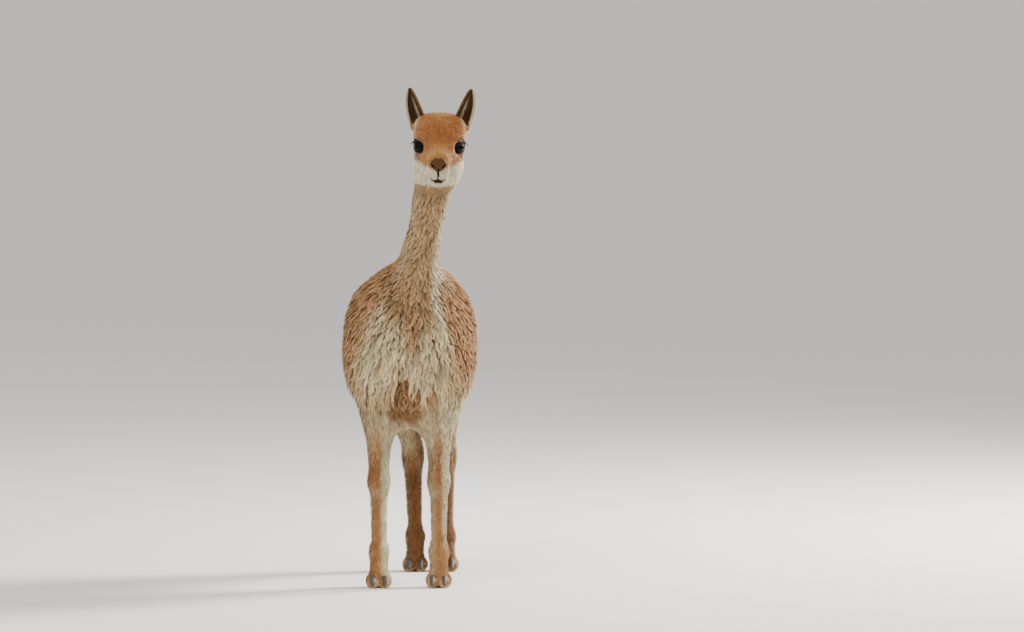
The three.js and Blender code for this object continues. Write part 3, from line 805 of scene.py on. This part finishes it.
def ring_grid(start, stop, rows, around):
    """A row of heights from start to stop, and turns all the way round at each."""
    turns = np.arange(around) / around * 2 * math.pi
    return np.meshgrid(np.linspace(start, stop, rows), turns, indexing="ij")


def tube_faces(rows, around):
    """Quads between rings of points that follow one another."""
    grid = np.arange(rows * around).reshape(rows, around)
    beside = np.roll(grid, -1, axis=1)
    return np.stack([grid[:-1], beside[:-1], beside[1:], grid[1:]], -1).reshape(-1, 4)


def closed_tube_faces(rows, around):
    first, last = np.arange(around), np.arange(around) + (rows - 1) * around
    return [*tube_faces(rows, around), first[::-1], last]


def paint(obj, shades):
    layer = obj.data.attributes.new("coat", "FLOAT_COLOR", "POINT")
    opaque = np.concatenate([shades, np.ones((len(shades), 1))], 1)
    layer.data.foreach_set("color", opaque.astype(F).ravel())


def new_material(name):
    material = bpy.data.materials.new(name)
    material.use_nodes = True
    nodes, links = material.node_tree.nodes, material.node_tree.links
    return material, nodes, links, nodes["Principled BSDF"]


def put(node, **values):
    """Sets a node's inputs: From_Min stands for the one named From Min."""
    for name, value in values.items():
        node.inputs[name.replace("_", " ")].default_value = value
    return node


def coat_marks(nodes):
    marks = nodes.new("ShaderNodeAttribute")
    marks.attribute_name = "coat"
    return marks.outputs["Color"]


def add_bump(material, noise, strength, distance):
    nodes, links = material.node_tree.nodes, material.node_tree.links
    bump = put(nodes.new("ShaderNodeBump"), Strength=strength, Distance=distance)
    links.new(noise.outputs["Fac"], bump.inputs["Height"])
    links.new(bump.outputs["Normal"], nodes["Principled BSDF"].inputs["Normal"])


def coat_material(name, roughness=0.75, sheen=0.06, grain=420):
    """Hair that takes its markings from the mesh, broken up by a fine grain."""
    material, nodes, links, shader = new_material(name)
    noise = put(nodes.new("ShaderNodeTexNoise"), Scale=grain, Detail=2)
    spread = put(nodes.new("ShaderNodeMapRange"), From_Min=0.3, From_Max=0.7, To_Min=0.82, To_Max=1.14)
    scale = nodes.new("ShaderNodeVectorMath")
    scale.operation = "SCALE"
    links.new(noise.outputs["Fac"], spread.inputs["Value"])
    links.new(coat_marks(nodes), scale.inputs[0])
    links.new(spread.outputs["Result"], scale.inputs["Scale"])
    links.new(scale.outputs["Vector"], shader.inputs["Base Color"])
    put(shader, Roughness=roughness, Specular_IOR_Level=0.12, Sheen_Weight=sheen, Sheen_Roughness=0.5)
    return material


def skin_material():
    material = coat_material("skin", 0.6, 0.02, 900)
    noise = put(material.node_tree.nodes.new("ShaderNodeTexNoise"), Scale=1400)
    add_bump(material, noise, 0.35, 0.0006)
    return material


def make_skin():
    points, faces = net(VALUE)
    points = settle(relax(points.astype(np.float64), faces).astype(F))
    normals = unit(slope(points)[1])
    on_floor = points[:, 2] < 0.8
    inner = points - normals * coat_depth(points)[:, None] * (~on_floor)[:, None]
    inner[:, 2] = np.maximum(inner[:, 2], 0)
    obj = mesh_object("skin", inner, faces)
    in_shade = 0.8
    paint(obj, markings(points, normals) * in_shade)
    flesh = [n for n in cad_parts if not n.startswith(("eye", "ear")) and "nail" not in n]
    dress(obj, skin_material(), "coat_fawn", *flesh)
    return points, normals, faces


SKIN_POINTS, SKIN_NORMALS, SKIN_FACES = make_skin()
COAT = {
    "coat_fawn": coat_material("fleece_fawn"),
    "coat_cream": coat_material("fleece_cream", 0.7, 0.08),
    "coat_brown": coat_material("hair_brown", 0.6, 0.03),
}


# Tufts

PATCH = 0.003


def hair(steps=3, stray=0.25, follow=1.0, gravity=0.0, rise=0.7, spacing=8, strength=0.6, squeeze=0.7,
         pinch=0.7, crimp=0.0, waves=1.5, close=2.5, tint=0.1, fleck=0.0, roll=0.5, light=(0.42, 0.96),
         pale=0.0):
    """How strands grow and look.

    A strand has so many steps and strays from the lie. Follow draws it back to the body, and it lifts
    early if rise is under 1. Locks stand `spacing` apart. Strength and squeeze gather their strands,
    nearer to the root the lower pinch is, and crimp waves them. Strands stay within `close` of the body,
    or loose if it is 0. Tint and fleck vary their tone. Painted light runs from root to tip: painted
    shade at the root, rising to a painted highlight at the tip, and pale fades the tip to cream as a
    further painted highlight."""
    return SimpleNamespace(**locals())


def scatter(weight, count, seed):
    """Roots spread over the skin, closer where the weight is more."""
    draw = default_rng(seed)
    tri = np.concatenate([SKIN_FACES[:, [0, 1, 2]], SKIN_FACES[:, [0, 2, 3]]])
    a, b, c = (SKIN_POINTS[tri[:, i]] for i in range(3))
    area = np.linalg.norm(np.cross(b - a, c - a), axis=1) / 2
    chance = area * weight[tri].mean(1)
    pick = draw.choice(len(tri), count, p=chance / chance.sum())
    u, v = draw.random(count), draw.random(count)
    over = u + v > 1
    u, v = np.where(over, 1 - u, u)[:, None], np.where(over, 1 - v, v)[:, None]
    root = a[pick] + (b[pick] - a[pick]) * u + (c[pick] - a[pick]) * v
    m = SKIN_NORMALS[tri[pick]]
    normal = unit(m[:, 0] * (1 - u - v) + m[:, 1] * u + m[:, 2] * v)
    return root.astype(F), normal.astype(F)


def lie_at(p):
    """Which way the hair lies, before it is laid on the surface."""
    x, y, z = p.T
    count = len(p)
    chest = np.stack([x / 170, np.full(count, -0.1), np.full(count, -1.0)], 1).astype(F)
    return blended(
        vec(0, 0.75, -0.6),
        (vec(0, 0.5, -0.85), step(230, 320, y)),
        (chest, step(-120, -230, y)),
        (vec(0, 0.05, -1), step(520, 420, z)),
        (-NECK_WAY + vec(0, 0.15, 0), step(0.0, 0.3, along_neck(p))),
        (lie_on_head(into_head(p)), on_head(p)),
        (vec(0, 0.05, -1), on_tail(p)),
    )


def lie_on_head(q):
    """Back over the head, down the cheeks, outwards on the chin and away from the eyes."""
    x, y, z = q.T
    down = vec(0, 0.75, -0.7) @ HEAD_TURN.T
    lie = blended(vec(0, 1, 0.12) @ HEAD_TURN.T, (down, step(10, -40, z) * step(-90, -50, y)))
    lie[:, 0] += x / 40 * 0.5 * step(-50, -110, y)
    for s in (LEFT, RIGHT):
        away = q - eye_centre(s)
        out = unit(away) @ HEAD_TURN.T
        near = step(44, 26, norm(away))[:, None]
        toward = np.minimum(dot(lie, out), 0)[:, None]
        lie = lie - out * toward * near + out * 0.35 * near
    return lie


def laid(lie, n):
    """The lie turned along the surface, but kept as it is where it points almost straight off it."""
    flat = lie - n * dot(lie, n)[:, None]
    turned = step(0.15, 0.5, norm(flat) / norm(lie))[:, None]
    return unit(unit(lie) * (1 - turned) + unit(flat) * turned)


def grow(root, normal, length, tip, look, seed):
    """Strands that leave the skin, follow the coat's outside and end `tip` above it."""
    draw = default_rng(seed)
    n, p, depth = normal, root, coat_depth(root)
    angle = wobble(root, 45, seed + 5) * look.stray + draw.normal(0, look.stray * 0.5, len(root))
    angle = angle[:, None]
    along = laid(lie_at(root), n)
    along = along * np.cos(angle) + np.cross(n, along) * np.sin(angle)
    points, sides, ups = [root - n * depth[:, None]], [np.cross(along, n)], [n]
    for k in range(1, look.steps + 1):
        p = p + along * (length / look.steps)[:, None]
        d, g = sample(p)
        pull = np.where(d > 0, look.follow, 1.0)
        p = p - g * (np.clip(d, -20, 20) / np.maximum(dot(g, g), 0.2) * pull)[:, None]
        n = unit(g)
        along = unit(laid(along, n) + vec(0, 0, -look.gravity))
        height = -depth + (depth + tip) * (k / look.steps) ** look.rise
        points.append(p + n * height[:, None])
        sides.append(np.cross(along, n))
        ups.append(n)
    return np.stack(points, 1), unit(np.stack(sides, 1)), np.stack(ups, 1)


def tree_of(points):
    tree = KDTree(len(points))
    for i, point in enumerate(points):
        tree.insert(point, i)
    tree.balance()
    return tree


def clump(curve, root, look, seed):
    """Draws strands together round guides, and gives each strand its guide's number."""
    draw = default_rng(seed)
    tree = tree_of(root)
    taken = np.zeros(len(root), bool)
    guides = []
    for i in draw.permutation(len(root)):
        if taken[i]:
            continue
        guides.append(i)
        for _, j, _ in tree.find_range(root[i], look.spacing * draw.uniform(0.6, 1.15)):
            taken[j] = True
    guides = np.array(guides)
    tree = tree_of(root[guides])
    number = np.fromiter((tree.find(r)[1] for r in root), int, len(root))
    t = np.linspace(0, 1, look.steps + 1)[None, :, None]
    offset = (root - root[guides[number]])[:, None, :]
    guided = curve[guides[number]] + offset * (1 - look.squeeze * t**look.pinch)
    return curve + (guided - curve) * (look.strength * t ** min(look.pinch, 0.8)), number


def crimped(curve, side, up, number, look, draw):
    """Each lock waved from side to side, and a little up and down."""
    locks = number.max() + 1
    phase = draw.uniform(0, 2 * math.pi, locks)[number][:, None]
    beat = (look.waves * draw.uniform(0.8, 1.25, locks))[number][:, None]
    t = np.linspace(0, 1, look.steps + 1)[None, :]
    turn = 2 * math.pi * beat * t + phase
    swing = np.sin(turn) * t**0.7 * look.crimp
    lift = np.cos(turn) * t**0.7 * look.crimp * 0.4
    return curve + side * swing[:, :, None] + up * lift[:, :, None]


def held_close(curve, tip, close):
    """Strands drawn back to `close` from the body, or that far past their tips' height."""
    count, rings, _ = curve.shape
    free = curve[:, 1:].reshape(-1, 3)
    off, g = sample(free)
    past = off - close - np.repeat(np.maximum(tip, 0), rings - 1)
    free = free - unit(g) * np.maximum(past, 0)[:, None]
    curve[:, 1:] = free.reshape(count, rings - 1, 3)
    return curve


def ribbons(name, strands, width, tone, shades, uv, slot, look, seed):
    """One mesh of flat, tapered strips, one to a strand, ending in a point."""
    draw = default_rng(seed)
    curve, side, up = strands
    count, rings, _ = curve.shape
    steps = rings - 1
    t = np.linspace(0, 1, rings)
    taper = (0.75 + 0.5 * t) * (1 - t**2.2)
    turn = draw.normal(0, look.roll, count)[:, None, None]
    across = side * np.cos(turn) + up * np.sin(turn)
    half = (width[:, None] * taper[None, :] / 2)[:, :, None]
    left, right = curve - across * half, curve + across * half
    body = np.stack([left[:, :-1], right[:, :-1]], 2).reshape(count, steps * 2, 3)
    points = np.concatenate([body, curve[:, -1:]], 1).reshape(-1, 3)
    per = steps * 2 + 1
    triangles = []
    for k in range(0, per - 3, 2):
        triangles += [[k, k + 1, k + 3], [k, k + 3, k + 2]]
    triangles.append([per - 3, per - 2, per - 1])
    faces = ((np.arange(count) * per)[:, None, None] + np.array(triangles)[None]).reshape(-1, 3)
    obj = mesh_object(name, points, faces)
    way = np.append(np.repeat(t[:-1], 2), 1.0)
    # Painted light: each strand is darkened at the root as painted shade and lightened towards the tip
    # as a painted highlight, and pale fades the tip towards cream as a further painted highlight.
    bright = look.light[0] + (look.light[1] - look.light[0]) * way**0.8
    faded = mix(shades[:, None, :], CREAM, np.broadcast_to(look.pale * way**2, (count, per)))
    painted = (faded * tone[:, None, None] * bright[None, :, None]).reshape(-1, 3)
    paint(obj, np.clip(painted, 0, 1))
    spot = np.stack([np.append(np.tile([0, 1], steps), 0.5), way], 1) * PATCH
    uvs = (uv[:, None, :] + spot[None]).reshape(-1, 2)
    layer = obj.data.uv_layers.new(name="OFBake")
    layer.data.foreach_set("uv", uvs[faces.ravel()].astype(F).ravel())
    dress(obj, COAT[slot], slot)


def unwrap(p, axis_from, axis_to, strip, strips):
    """Round and along an axis: the angle is U, in a strip of its own, and the way along is V."""
    a, b = vec(*axis_from), vec(*axis_to)
    w = unit(b - a)
    u = unit(np.cross(w, (0.37, 0.41, 0.83)))
    v = np.cross(w, u)
    r = p - a
    angle = np.arctan2(r @ v, r @ u) / (2 * math.pi) + 0.5
    way = (r @ w) / float(np.linalg.norm(b - a))
    return np.stack([(strip + 0.02 + angle * 0.94) / strips, 0.02 + np.clip(way, 0, 1) * 0.95], 1)


def coat_regions():
    """How thickly each piece of the coat grows at each point of the skin."""
    p, q = SKIN_POINTS, into_head(SKIN_POINTS)
    x, y, z = p.T
    bare = np.maximum(nose_pad(q), mouth_dark(q))
    crown = step(6, 18, head_height(q)) * step(-52, -36, q[:, 1])
    for s in (LEFT, RIGHT):
        edge, ahead = eye_opening(q, s)
        away = eye_distance(q, s)
        lids = step(3.6, 2.6, edge) * step(-6, 0, ahead) * (away < EYE_RADIUS + 6)
        bare = np.maximum(np.maximum(bare, lids), away < EYE_RADIUS + 1)
        crown = crown * (1 - step(14, 8, edge) * step(-10, 0, ahead))
    is_head = on_head(p) > 0.5
    is_neck = ~is_head & (along_neck(p) > 0.12) & (z > 700)
    is_tail = on_tail(p) > 0.5
    is_leg = z < 440
    rest = ~(is_head | is_neck | is_tail | is_leg)
    is_bib = rest & (on_bib(p) > 0.5)
    is_chest, is_rump = rest & (y < -100), rest & (y > 130)
    is_flank = rest & ~is_chest & ~is_rump
    face = is_head * (1 - step(0.05, 0.3, bare))
    sole = step(6, 14, z)
    return {
        "coat_face": face * (1 - crown) * (1 + 1.5 * step(-20, -80, q[:, 1])),
        "coat_crown": face * crown,
        "coat_neck": is_neck,
        "coat_shoulders": is_chest & ~is_bib,
        "coat_bib": is_bib * (1 + 0.5 * step(600, 560, z)),
        "coat_flank_left": is_flank & (x > 0),
        "coat_flank_right": is_flank & (x < 0),
        "coat_rump": is_rump,
        "coat_tail": is_tail,
        "coat_forelegs": (is_leg & (y < -80)) * sole,
        "coat_hindlegs": (is_leg & (y > 120)) * sole,
        "coat_belly": is_leg & (y > -80) & (y < 120),
    }


REGIONS = coat_regions()


def coat_piece(name, count, length, width, tip, axes, look, slot="coat_fawn", parting=0):
    """One piece of the coat. Length, width and tip may be functions of the roots and normals.

    Each axis has a strip of the unwrap: where there are two, they part at X = parting."""
    seed = 101 + 10 * list(REGIONS).index(name)
    draw = default_rng(seed)
    root, normal = scatter(REGIONS[name], count, seed)

    def at_roots(value):
        return value(root, normal) if callable(value) else np.full(count, value)

    size = 1 + draw.normal(0, 0.25, count).clip(-0.6, 0.8)
    over = at_roots(tip)
    curve, side, up = grow(root, normal, at_roots(length) * size, over, look, seed + 1)
    tone = 1 + draw.normal(0, look.tint, count)
    curve, number = clump(curve, root, look, seed + 2)
    each = default_rng(seed + 3)
    locks = number.max() + 1
    tone = tone * (1 + each.normal(0, look.tint, locks))[number]
    shades = mix(markings(root, normal), SAND, (each.random(locks) ** 2 * look.fleck)[number])
    curve = crimped(curve, side, up, number, look, each)
    if look.close:
        curve = held_close(curve, over, look.close)
    curve[:, :, 2] = np.maximum(curve[:, :, 2], 0.3)
    wide = at_roots(width) * (1 + draw.normal(0, 0.2, count)).clip(0.5, 1.6)
    uv = np.zeros((count, 2))
    strip = (root[:, 0] > parting) * (len(axes) - 1)
    for k, axis in enumerate(axes):
        uv[strip == k] = unwrap(root[strip == k], *axis, k, len(axes))
    ribbons(name, (curve, side, up), wide, tone.clip(0.6, 1.5), shades, uv, slot, look, seed + 4)


def clear_of_features(r, long):
    """Hair is short by the lids, nose and lips, so that none lies over them."""
    q = into_head(r)
    for s in (LEFT, RIGHT):
        edge, ahead = eye_opening(q, s)
        off_ball = np.maximum(eye_distance(q, s) - EYE_RADIUS - 5, 0)
        limit = 1.2 + np.maximum(edge - 2, 0) * 0.5 + off_ball * 0.8
        long = np.where(ahead > -8, np.minimum(long, limit), long)
    m = in_mouth(q)
    by_lips = step(34, 20, m[:, 1]) * step(26, 18, np.abs(m[:, 0]))
    return np.minimum(long, mix(long, 1.0 + 0.09 * np.abs(m[:, 2] + 3), by_lips))


def on_muzzle(r):
    return step(-30, -90, into_head(r)[:, 1])


def fluffy(r, n):
    """The wool stands out at the body's sides and lies flat on top."""
    return mix(-5.0, 9.0, step(0.5, 0.95, np.abs(n[:, 0])) * step(440, 520, r[:, 2]))


def up_leg(low, high):
    """A size that grows up the leg, from low to high."""
    return lambda r, n: mix(low, high, step(180, 430, r[:, 2]))


def make_coat():
    spine = [((0, -560, 600), (0, 420, 600))]
    upright = [((0, -250, 400), (0, -250, 900))]
    skull = [(from_head((0, 100, 0)), from_head((0, -140, -20)))]
    fore = [((FORE_X[s], -195, 0), (FORE_X[s], -195, 480)) for s in (RIGHT, LEFT)]
    hind = [((HIND_X[s], 270, 0), (HIP_SHIFT + s * 64, 230, 480)) for s in (RIGHT, LEFT)]
    wool = partial(hair, spacing=8, strength=0.85, squeeze=0.85, pinch=0.5, waves=1.1, tint=0.12)

    coat_piece(
        "coat_face", 44000, lambda r, n: clear_of_features(r, mix(8.0, 4.0, on_muzzle(r))),
        lambda r, n: mix(1.3, 0.8, on_muzzle(r)), 0.4, skull,
        hair(steps=2, spacing=5, strength=0.4, stray=0.2, roll=0.4, light=(0.56, 0.93)),
    )
    coat_piece(
        "coat_crown", 22000, 11, 1.2, 0.8, skull,
        hair(spacing=4.5, crimp=1.0, waves=0.8, stray=0.4, roll=0.7, light=(0.5, 1.05)),
    )
    coat_piece(
        "coat_neck", 31500, 20, 1.6, -1.5, [(NECK_FROM, NECK_TO)],
        wool(squeeze=0.8, crimp=2.4, stray=0.4, pale=0.12),
    )
    coat_piece(
        "coat_shoulders", 33000, 30, 1.8, fluffy, spine,
        wool(strength=0.9, crimp=2.8, stray=0.35, tint=0.14, light=(0.42, 1.06), pale=0.2, close=0.5),
    )
    coat_piece(
        "coat_bib", 14500, lambda r, n: 48 + 34 * step(690, 580, r[:, 2]), 1.6, 9, upright,
        wool(steps=7, spacing=8.5, strength=0.95, pinch=0.4, crimp=4.0, waves=2.1, stray=0.3, follow=0.5,
             gravity=0.08, rise=0.9, tint=0.14, light=(0.25, 1.05), fleck=0.8, close=4),
        "coat_cream",
    )
    flat_wool = wool(spacing=7, crimp=2.4, stray=0.35, pale=0.1, close=0.5)
    coat_piece("coat_flank_left", 24500, 30, 2.1, fluffy, spine, flat_wool)
    coat_piece("coat_flank_right", 24500, 30, 2.1, fluffy, spine, flat_wool)
    coat_piece("coat_rump", 29000, 26, 2.1, -5, spine, flat_wool)
    coat_piece(
        "coat_tail", 7000, lambda r, n: 45 + 35 * step(0.1, 0.7, tail_near(r)[1]), 2.0, 5,
        [(TAIL_PATH[0], TAIL_PATH[-1])],
        hair(steps=5, spacing=9, strength=0.8, crimp=2.5, waves=1.3, stray=0.12, follow=0.1, gravity=0.8,
             rise=0.9, close=0),
        "coat_brown",
    )
    on_legs = (31000, up_leg(7.0, 17.0), up_leg(1.2, 2.0), 0.6)
    coat_piece("coat_forelegs", *on_legs, fore, hair(steps=2), parting=0)
    coat_piece("coat_hindlegs", *on_legs, hind, hair(steps=2), parting=45)
    coat_piece(
        "coat_belly", 7000, 24, 2.6, 1.5, spine,
        hair(spacing=14, strength=0.7, crimp=2, waves=1.0, stray=0.3), "coat_cream",
    )


make_coat()


# Eyes


def make_eyeball(word, s, material):
    """An eyeball about its gaze, with the clear front raised."""
    around, rows, cornea = 56, 35, 0.9
    tilt, turn = ring_grid(math.pi / (rows + 1), math.pi * rows / (rows + 1), rows, around)
    r = EYE_RADIUS + cornea * np.exp(-((tilt / 0.55) ** 4))
    ring = r * np.sin(tilt)
    rings = np.stack([ring * np.cos(turn), r * np.cos(tilt), ring * np.sin(turn)], -1).reshape(-1, 3)
    local = vec((0, EYE_RADIUS + cornea, 0), *rings, (0, -EYE_RADIUS, 0))
    end = len(local) - 1
    faces = [*(tube_faces(rows, around) + 1)]
    for j in range(around):
        k = (j + 1) % around
        faces += [[0, 1 + k, 1 + j], [end - around + j, end - around + k, end]]
    obj = mesh_object(f"eyeball_{word}", from_head(local @ eye_axes(s) + eye_centre(s)), faces)
    x, _, z = local.T
    pupil, edge = step(6.6, 5.4, np.hypot(x * 0.62, z)), step(9.5, 11.5, np.hypot(x, z))
    paint(obj, blended(IRIS, (PUPIL, pupil), (IRIS_EDGE, edge)))
    dress(obj, material, "eye", f"eye_{word}")


def eye_material():
    material, nodes, links, shader = new_material("eye")
    links.new(coat_marks(nodes), shader.inputs["Base Color"])
    put(shader, Roughness=0.08, Specular_IOR_Level=0.08, Coat_Weight=0.04, Coat_Roughness=0.02)
    return material


EYE_MATERIAL = eye_material()
for word, side_sign in SIDES.items():
    make_eyeball(word, side_sign, EYE_MATERIAL)


# Ears


def ear_axes(s):
    """The ear's own axes in the head's frame: across, back and up the ear."""
    up = unit(vec(s * EAR_LEAN, 0.02, 1))
    lean = Vector((0, 0, 1)).rotation_difference(Vector(up))
    turn = Quaternion(Vector(up), s * EAR_OPEN) @ lean
    return np.array([turn @ Vector(v) for v in ((1, 0, 0), (0, 1, 0), (0, 0, 1))], F)


def ear_points(s, t, a):
    """A point of the ear's outline at height t and turn a. Turns below zero are the cup's inside."""
    narrow = np.maximum(1 - t, 0)
    wide = EAR_WIDTH * 0.72 * np.maximum(0.35 + t, 0.01) ** 0.4 * narrow**0.62 + 0.7
    deep = EAR_THICK / 2 * narrow**0.7 + 0.8
    cup = step(0.06, 0.26, t)
    behind, off_side = np.sin(a) >= 0, np.abs(np.sin(a))
    x = np.where(behind, wide, wide - EAR_WALL * 0.8 * cup) * np.cos(a)
    hollow = mix(-deep * off_side, (deep - EAR_WALL) * off_side**0.8, cup)
    y = np.where(behind, deep * np.sin(a), hollow)
    local = np.stack([x - s * 9 * t**3, y, t * EAR_LENGTH], -1)
    return from_head(local @ ear_axes(s) + vec(s * EAR_AT[0], *EAR_AT[1:]))


def ear_tone(s, t, a, inside):
    """Fawn behind with a pale outer rim, dark inside with a pale stripe of hair."""
    outward = np.cos(a) * s
    stripe = hump(outward, -0.3, 0.2) * step(0.85, 0.45, t) * inside
    return blended(
        TAN,
        (EAR_INSIDE, inside * 0.95),
        (CREAM, stripe * 0.5),
        (BARK, step(-0.8, -0.97, outward) * 0.7),
        (CREAM, step(0.93, 0.99, outward) * 0.8),
    )


def make_ear(word, s):
    around, rows = 48, 44
    t, a = ring_grid(-0.12, 0.995, rows, around)
    points = ear_points(s, t, a).reshape(-1, 3)
    obj = mesh_object(f"ear_shell_{word}", points, closed_tube_faces(rows, around))
    inside = (np.sin(a) < -0.05) * step(0.08, 0.2, t)
    paint(obj, ear_tone(s, t, a, inside).reshape(-1, 3))
    dress(obj, bpy.data.materials["skin"], "coat_brown", f"ear_{word}")


def ear_hair(word, s, seed):
    draw = default_rng(seed)
    count, look = 7000, hair()
    t0 = draw.random(count) ** 0.9 * 0.97
    a = draw.random(count) * 2 * math.pi
    rim = np.abs(np.cos(a)) > 0.95
    inside = (np.sin(a) < -0.08) & (t0 > 0.1)
    length = np.where(inside, 9.0, 7.0) * draw.uniform(0.6, 1.3, count)
    length = np.minimum(length, (1.01 - t0) * EAR_LENGTH)
    low, tip, ahead, beside = -0.1, 0.999, 0.005, 0.03
    curve, side, up = [], [], []
    for k in range(look.steps + 1):
        t = t0 + length * k / look.steps / EAR_LENGTH
        here = ear_points(s, t.clip(low, tip), a)
        along = unit(ear_points(s, (t + ahead).clip(low, tip), a) - here + 1e-6)
        normal = unit(np.cross(ear_points(s, t.clip(low, tip), a + beside) - here, along))
        rise = (k / look.steps) * np.where(rim, 2.2, np.where(inside, 1.8, 1.3))
        past = np.maximum(t - tip, 0)[:, None] * EAR_LENGTH * along
        curve.append(here + normal * rise[:, None] + past)
        side.append(np.cross(along, normal))
        up.append(normal)
    strands = np.stack(curve, 1).astype(F), np.stack(side, 1), np.stack(up, 1)
    uv = np.stack([0.02 + a / (2 * math.pi) * 0.94, 0.02 + t0 * 0.94], 1)
    width = draw.uniform(0.9, 1.5, count)
    tone = 1 + draw.normal(0, 0.12, count)
    shades = ear_tone(s, t0, a, inside)
    ribbons(f"coat_ear_{word}", strands, width, tone, shades, uv, "coat_brown", look, seed + 1)


for word, side_sign in SIDES.items():
    make_ear(word, side_sign)
    ear_hair(word, side_sign, 301 + side_sign)


# Lashes


def lashes(word, s, seed):
    """Long hairs along the upper lid, drooping at their tips."""
    draw = default_rng(seed)
    count, steps = 130, 5
    across = draw.uniform(-0.95, 0.98, count)
    x = (across * EYE_WIDE).astype(F)
    lift = np.maximum(1 - np.abs(across) ** 1.8, 0) ** 0.5 * EYE_HIGH
    z = (lift - EYE_TILT * x * s + 0.8).astype(F)
    y = np.sqrt(np.maximum((EYE_RADIUS + 2.4) ** 2 - x**2 - z**2, 1))
    e = np.stack([x, y, z], 1)
    out = unit(e)
    long = draw.uniform(9, 15, count) * (0.7 + 0.5 * step(-0.2, 0.9, across * s))
    curve = []
    for k in range(steps + 1):
        t = k / steps
        droop, fan = vec(0, 0, -1) * (8 * t**2), vec(1, 0, 0) * (across * 3 * t)[:, None]
        curve.append(e + out * (long * t)[:, None] * 0.85 + droop + fan)
    curve = from_head(np.stack(curve, 1) @ eye_axes(s) + eye_centre(s)).astype(F)
    along = unit(np.gradient(curve, axis=1))
    side = unit(np.cross(along, (0.1, 0.2, 1)))
    strands = curve, side, np.cross(side, along)
    uv = np.stack([0.1 + 0.8 * (across + 1) / 2, np.full(count, 0.5)], 1)
    width, tone, shades = np.full(count, 1.1), np.ones(count), np.broadcast_to(SOOT, (count, 3))
    ribbons(f"lashes_{word}", strands, width, tone, shades, uv, "coat_brown", hair(roll=0.2), seed + 1)


for word, side_sign in SIDES.items():
    lashes(word, side_sign, 401 + side_sign)


# Nails


def nail_material():
    material, nodes, links, shader = new_material("horn")
    noise = put(nodes.new("ShaderNodeTexNoise"), Scale=160, Detail=6)
    ramp = nodes.new("ShaderNodeValToRGB")
    for stop, shade in zip(ramp.color_ramp.elements, (HORN_DARK, HORN_PALE)):
        stop.color = (*shade, 1)
    links.new(noise.outputs["Fac"], ramp.inputs["Fac"])
    links.new(ramp.outputs["Color"], shader.inputs["Base Color"])
    add_bump(material, noise, 0.4, 0.0005)
    put(shader, Roughness=0.6)
    return material


def make_nail(leg, word, x, y, material):
    """A nail along the top of a toe whose end is at x and y, hooked down at the tip."""
    around, rows = 28, 14
    t, turn = ring_grid(0, 1, rows, around)
    radius = 9 * (1 - t) ** 0.5 + 1.1
    across = x + np.cos(turn) * radius * 0.85
    z = 21 - 13 * t**1.6 + np.sin(turn) * radius * (1 + 0.03 * np.cos(3 * turn))
    points = np.stack([across, y + 2 - 24.5 * t, np.maximum(z, 1)], -1).reshape(-1, 3)
    obj = mesh_object(f"nail_{leg}_{word}", points.astype(F), closed_tube_faces(rows, around))
    dress(obj, material, "nail", f"{leg}_nail_{word}")


HORN = nail_material()
for side_word, side_sign in SIDES.items():
    feet = (("foreleg", FORE_X[side_sign], FORE_TOE_Y), ("hindleg", HIND_X[side_sign], HIND_TOE_Y))
    for leg_word, toe_x, toe_y in feet:
        for toe_side in (LEFT, RIGHT):
            toe_word = "outer" if toe_side == side_sign else "inner"
            make_nail(f"{leg_word}_{side_word}", toe_word, toe_x + toe_side * 15, toe_y - TOE, HORN)


# Floor, light and camera

PHOTO_SIZE = (1024, 632)
MM_PER_PIXEL = 2.44
MIDDLE_COLUMN = 409.5
GROUND_ROW = 591
CHEST_Y = -300
CAMERA_AWAY = 18.0
CAMERA_UP = math.radians(3)
SENSOR = 36
FLOOR_HALF = 300


def make_floor():
    mesh = bpy.data.meshes.new("floor")
    corners = [(x * FLOOR_HALF, y * FLOOR_HALF, 0) for x, y in ((-1, -1), (1, -1), (1, 1), (-1, 1))]
    mesh.from_pydata(corners, [], [(0, 1, 2, 3)])
    material, _, _, shader = new_material("floor")
    put(shader, Base_Color=(0.76, 0.74, 0.71, 1), Roughness=0.9)
    mesh.materials.append(material)
    add_object("floor", mesh)


def area_light(name, at, size, power, tint):
    data = bpy.data.lights.new(name, "AREA")
    data.shape, data.size, data.energy, data.color = "DISK", size, power, tint
    lamp = add_object(name, data)
    lamp.location = at
    chest = Vector((0.03, -0.1, 0.75))
    lamp.rotation_euler = (chest - Vector(at)).to_track_quat("-Z", "Y").to_euler()


def make_light():
    world = bpy.data.worlds.new("studio")
    world.use_nodes = True
    put(world.node_tree.nodes["Background"], Color=(1, 0.99, 0.97, 1), Strength=0.9)
    bpy.context.scene.world = world
    area_light("key", (-1.6, -4.2, 4.4), 2.6, 230, (1, 0.97, 0.92))
    area_light("rim", (3.6, 1.9, 2.8), 1.6, 700, (1, 0.98, 0.94))


def make_camera():
    data = bpy.data.cameras.new("camera")
    data.sensor_width = SENSOR
    data.lens = CAMERA_AWAY / (MM_PER_PIXEL / 1000) * SENSOR / PHOTO_SIZE[0]
    data.clip_end = 1000
    camera = add_object("camera", data)
    aim_x = (PHOTO_SIZE[0] / 2 - MIDDLE_COLUMN) * MM_PER_PIXEL
    aim_z = (GROUND_ROW - PHOTO_SIZE[1] / 2) * MM_PER_PIXEL
    aim = Vector(to_frame((aim_x, CHEST_Y, aim_z)))
    camera.location = aim + CAMERA_AWAY * Vector((0, -math.cos(CAMERA_UP), math.sin(CAMERA_UP)))
    camera.rotation_euler = (math.pi / 2 - CAMERA_UP, 0, 0)
    bpy.context.scene.camera = camera


make_floor()
make_light()
make_camera()
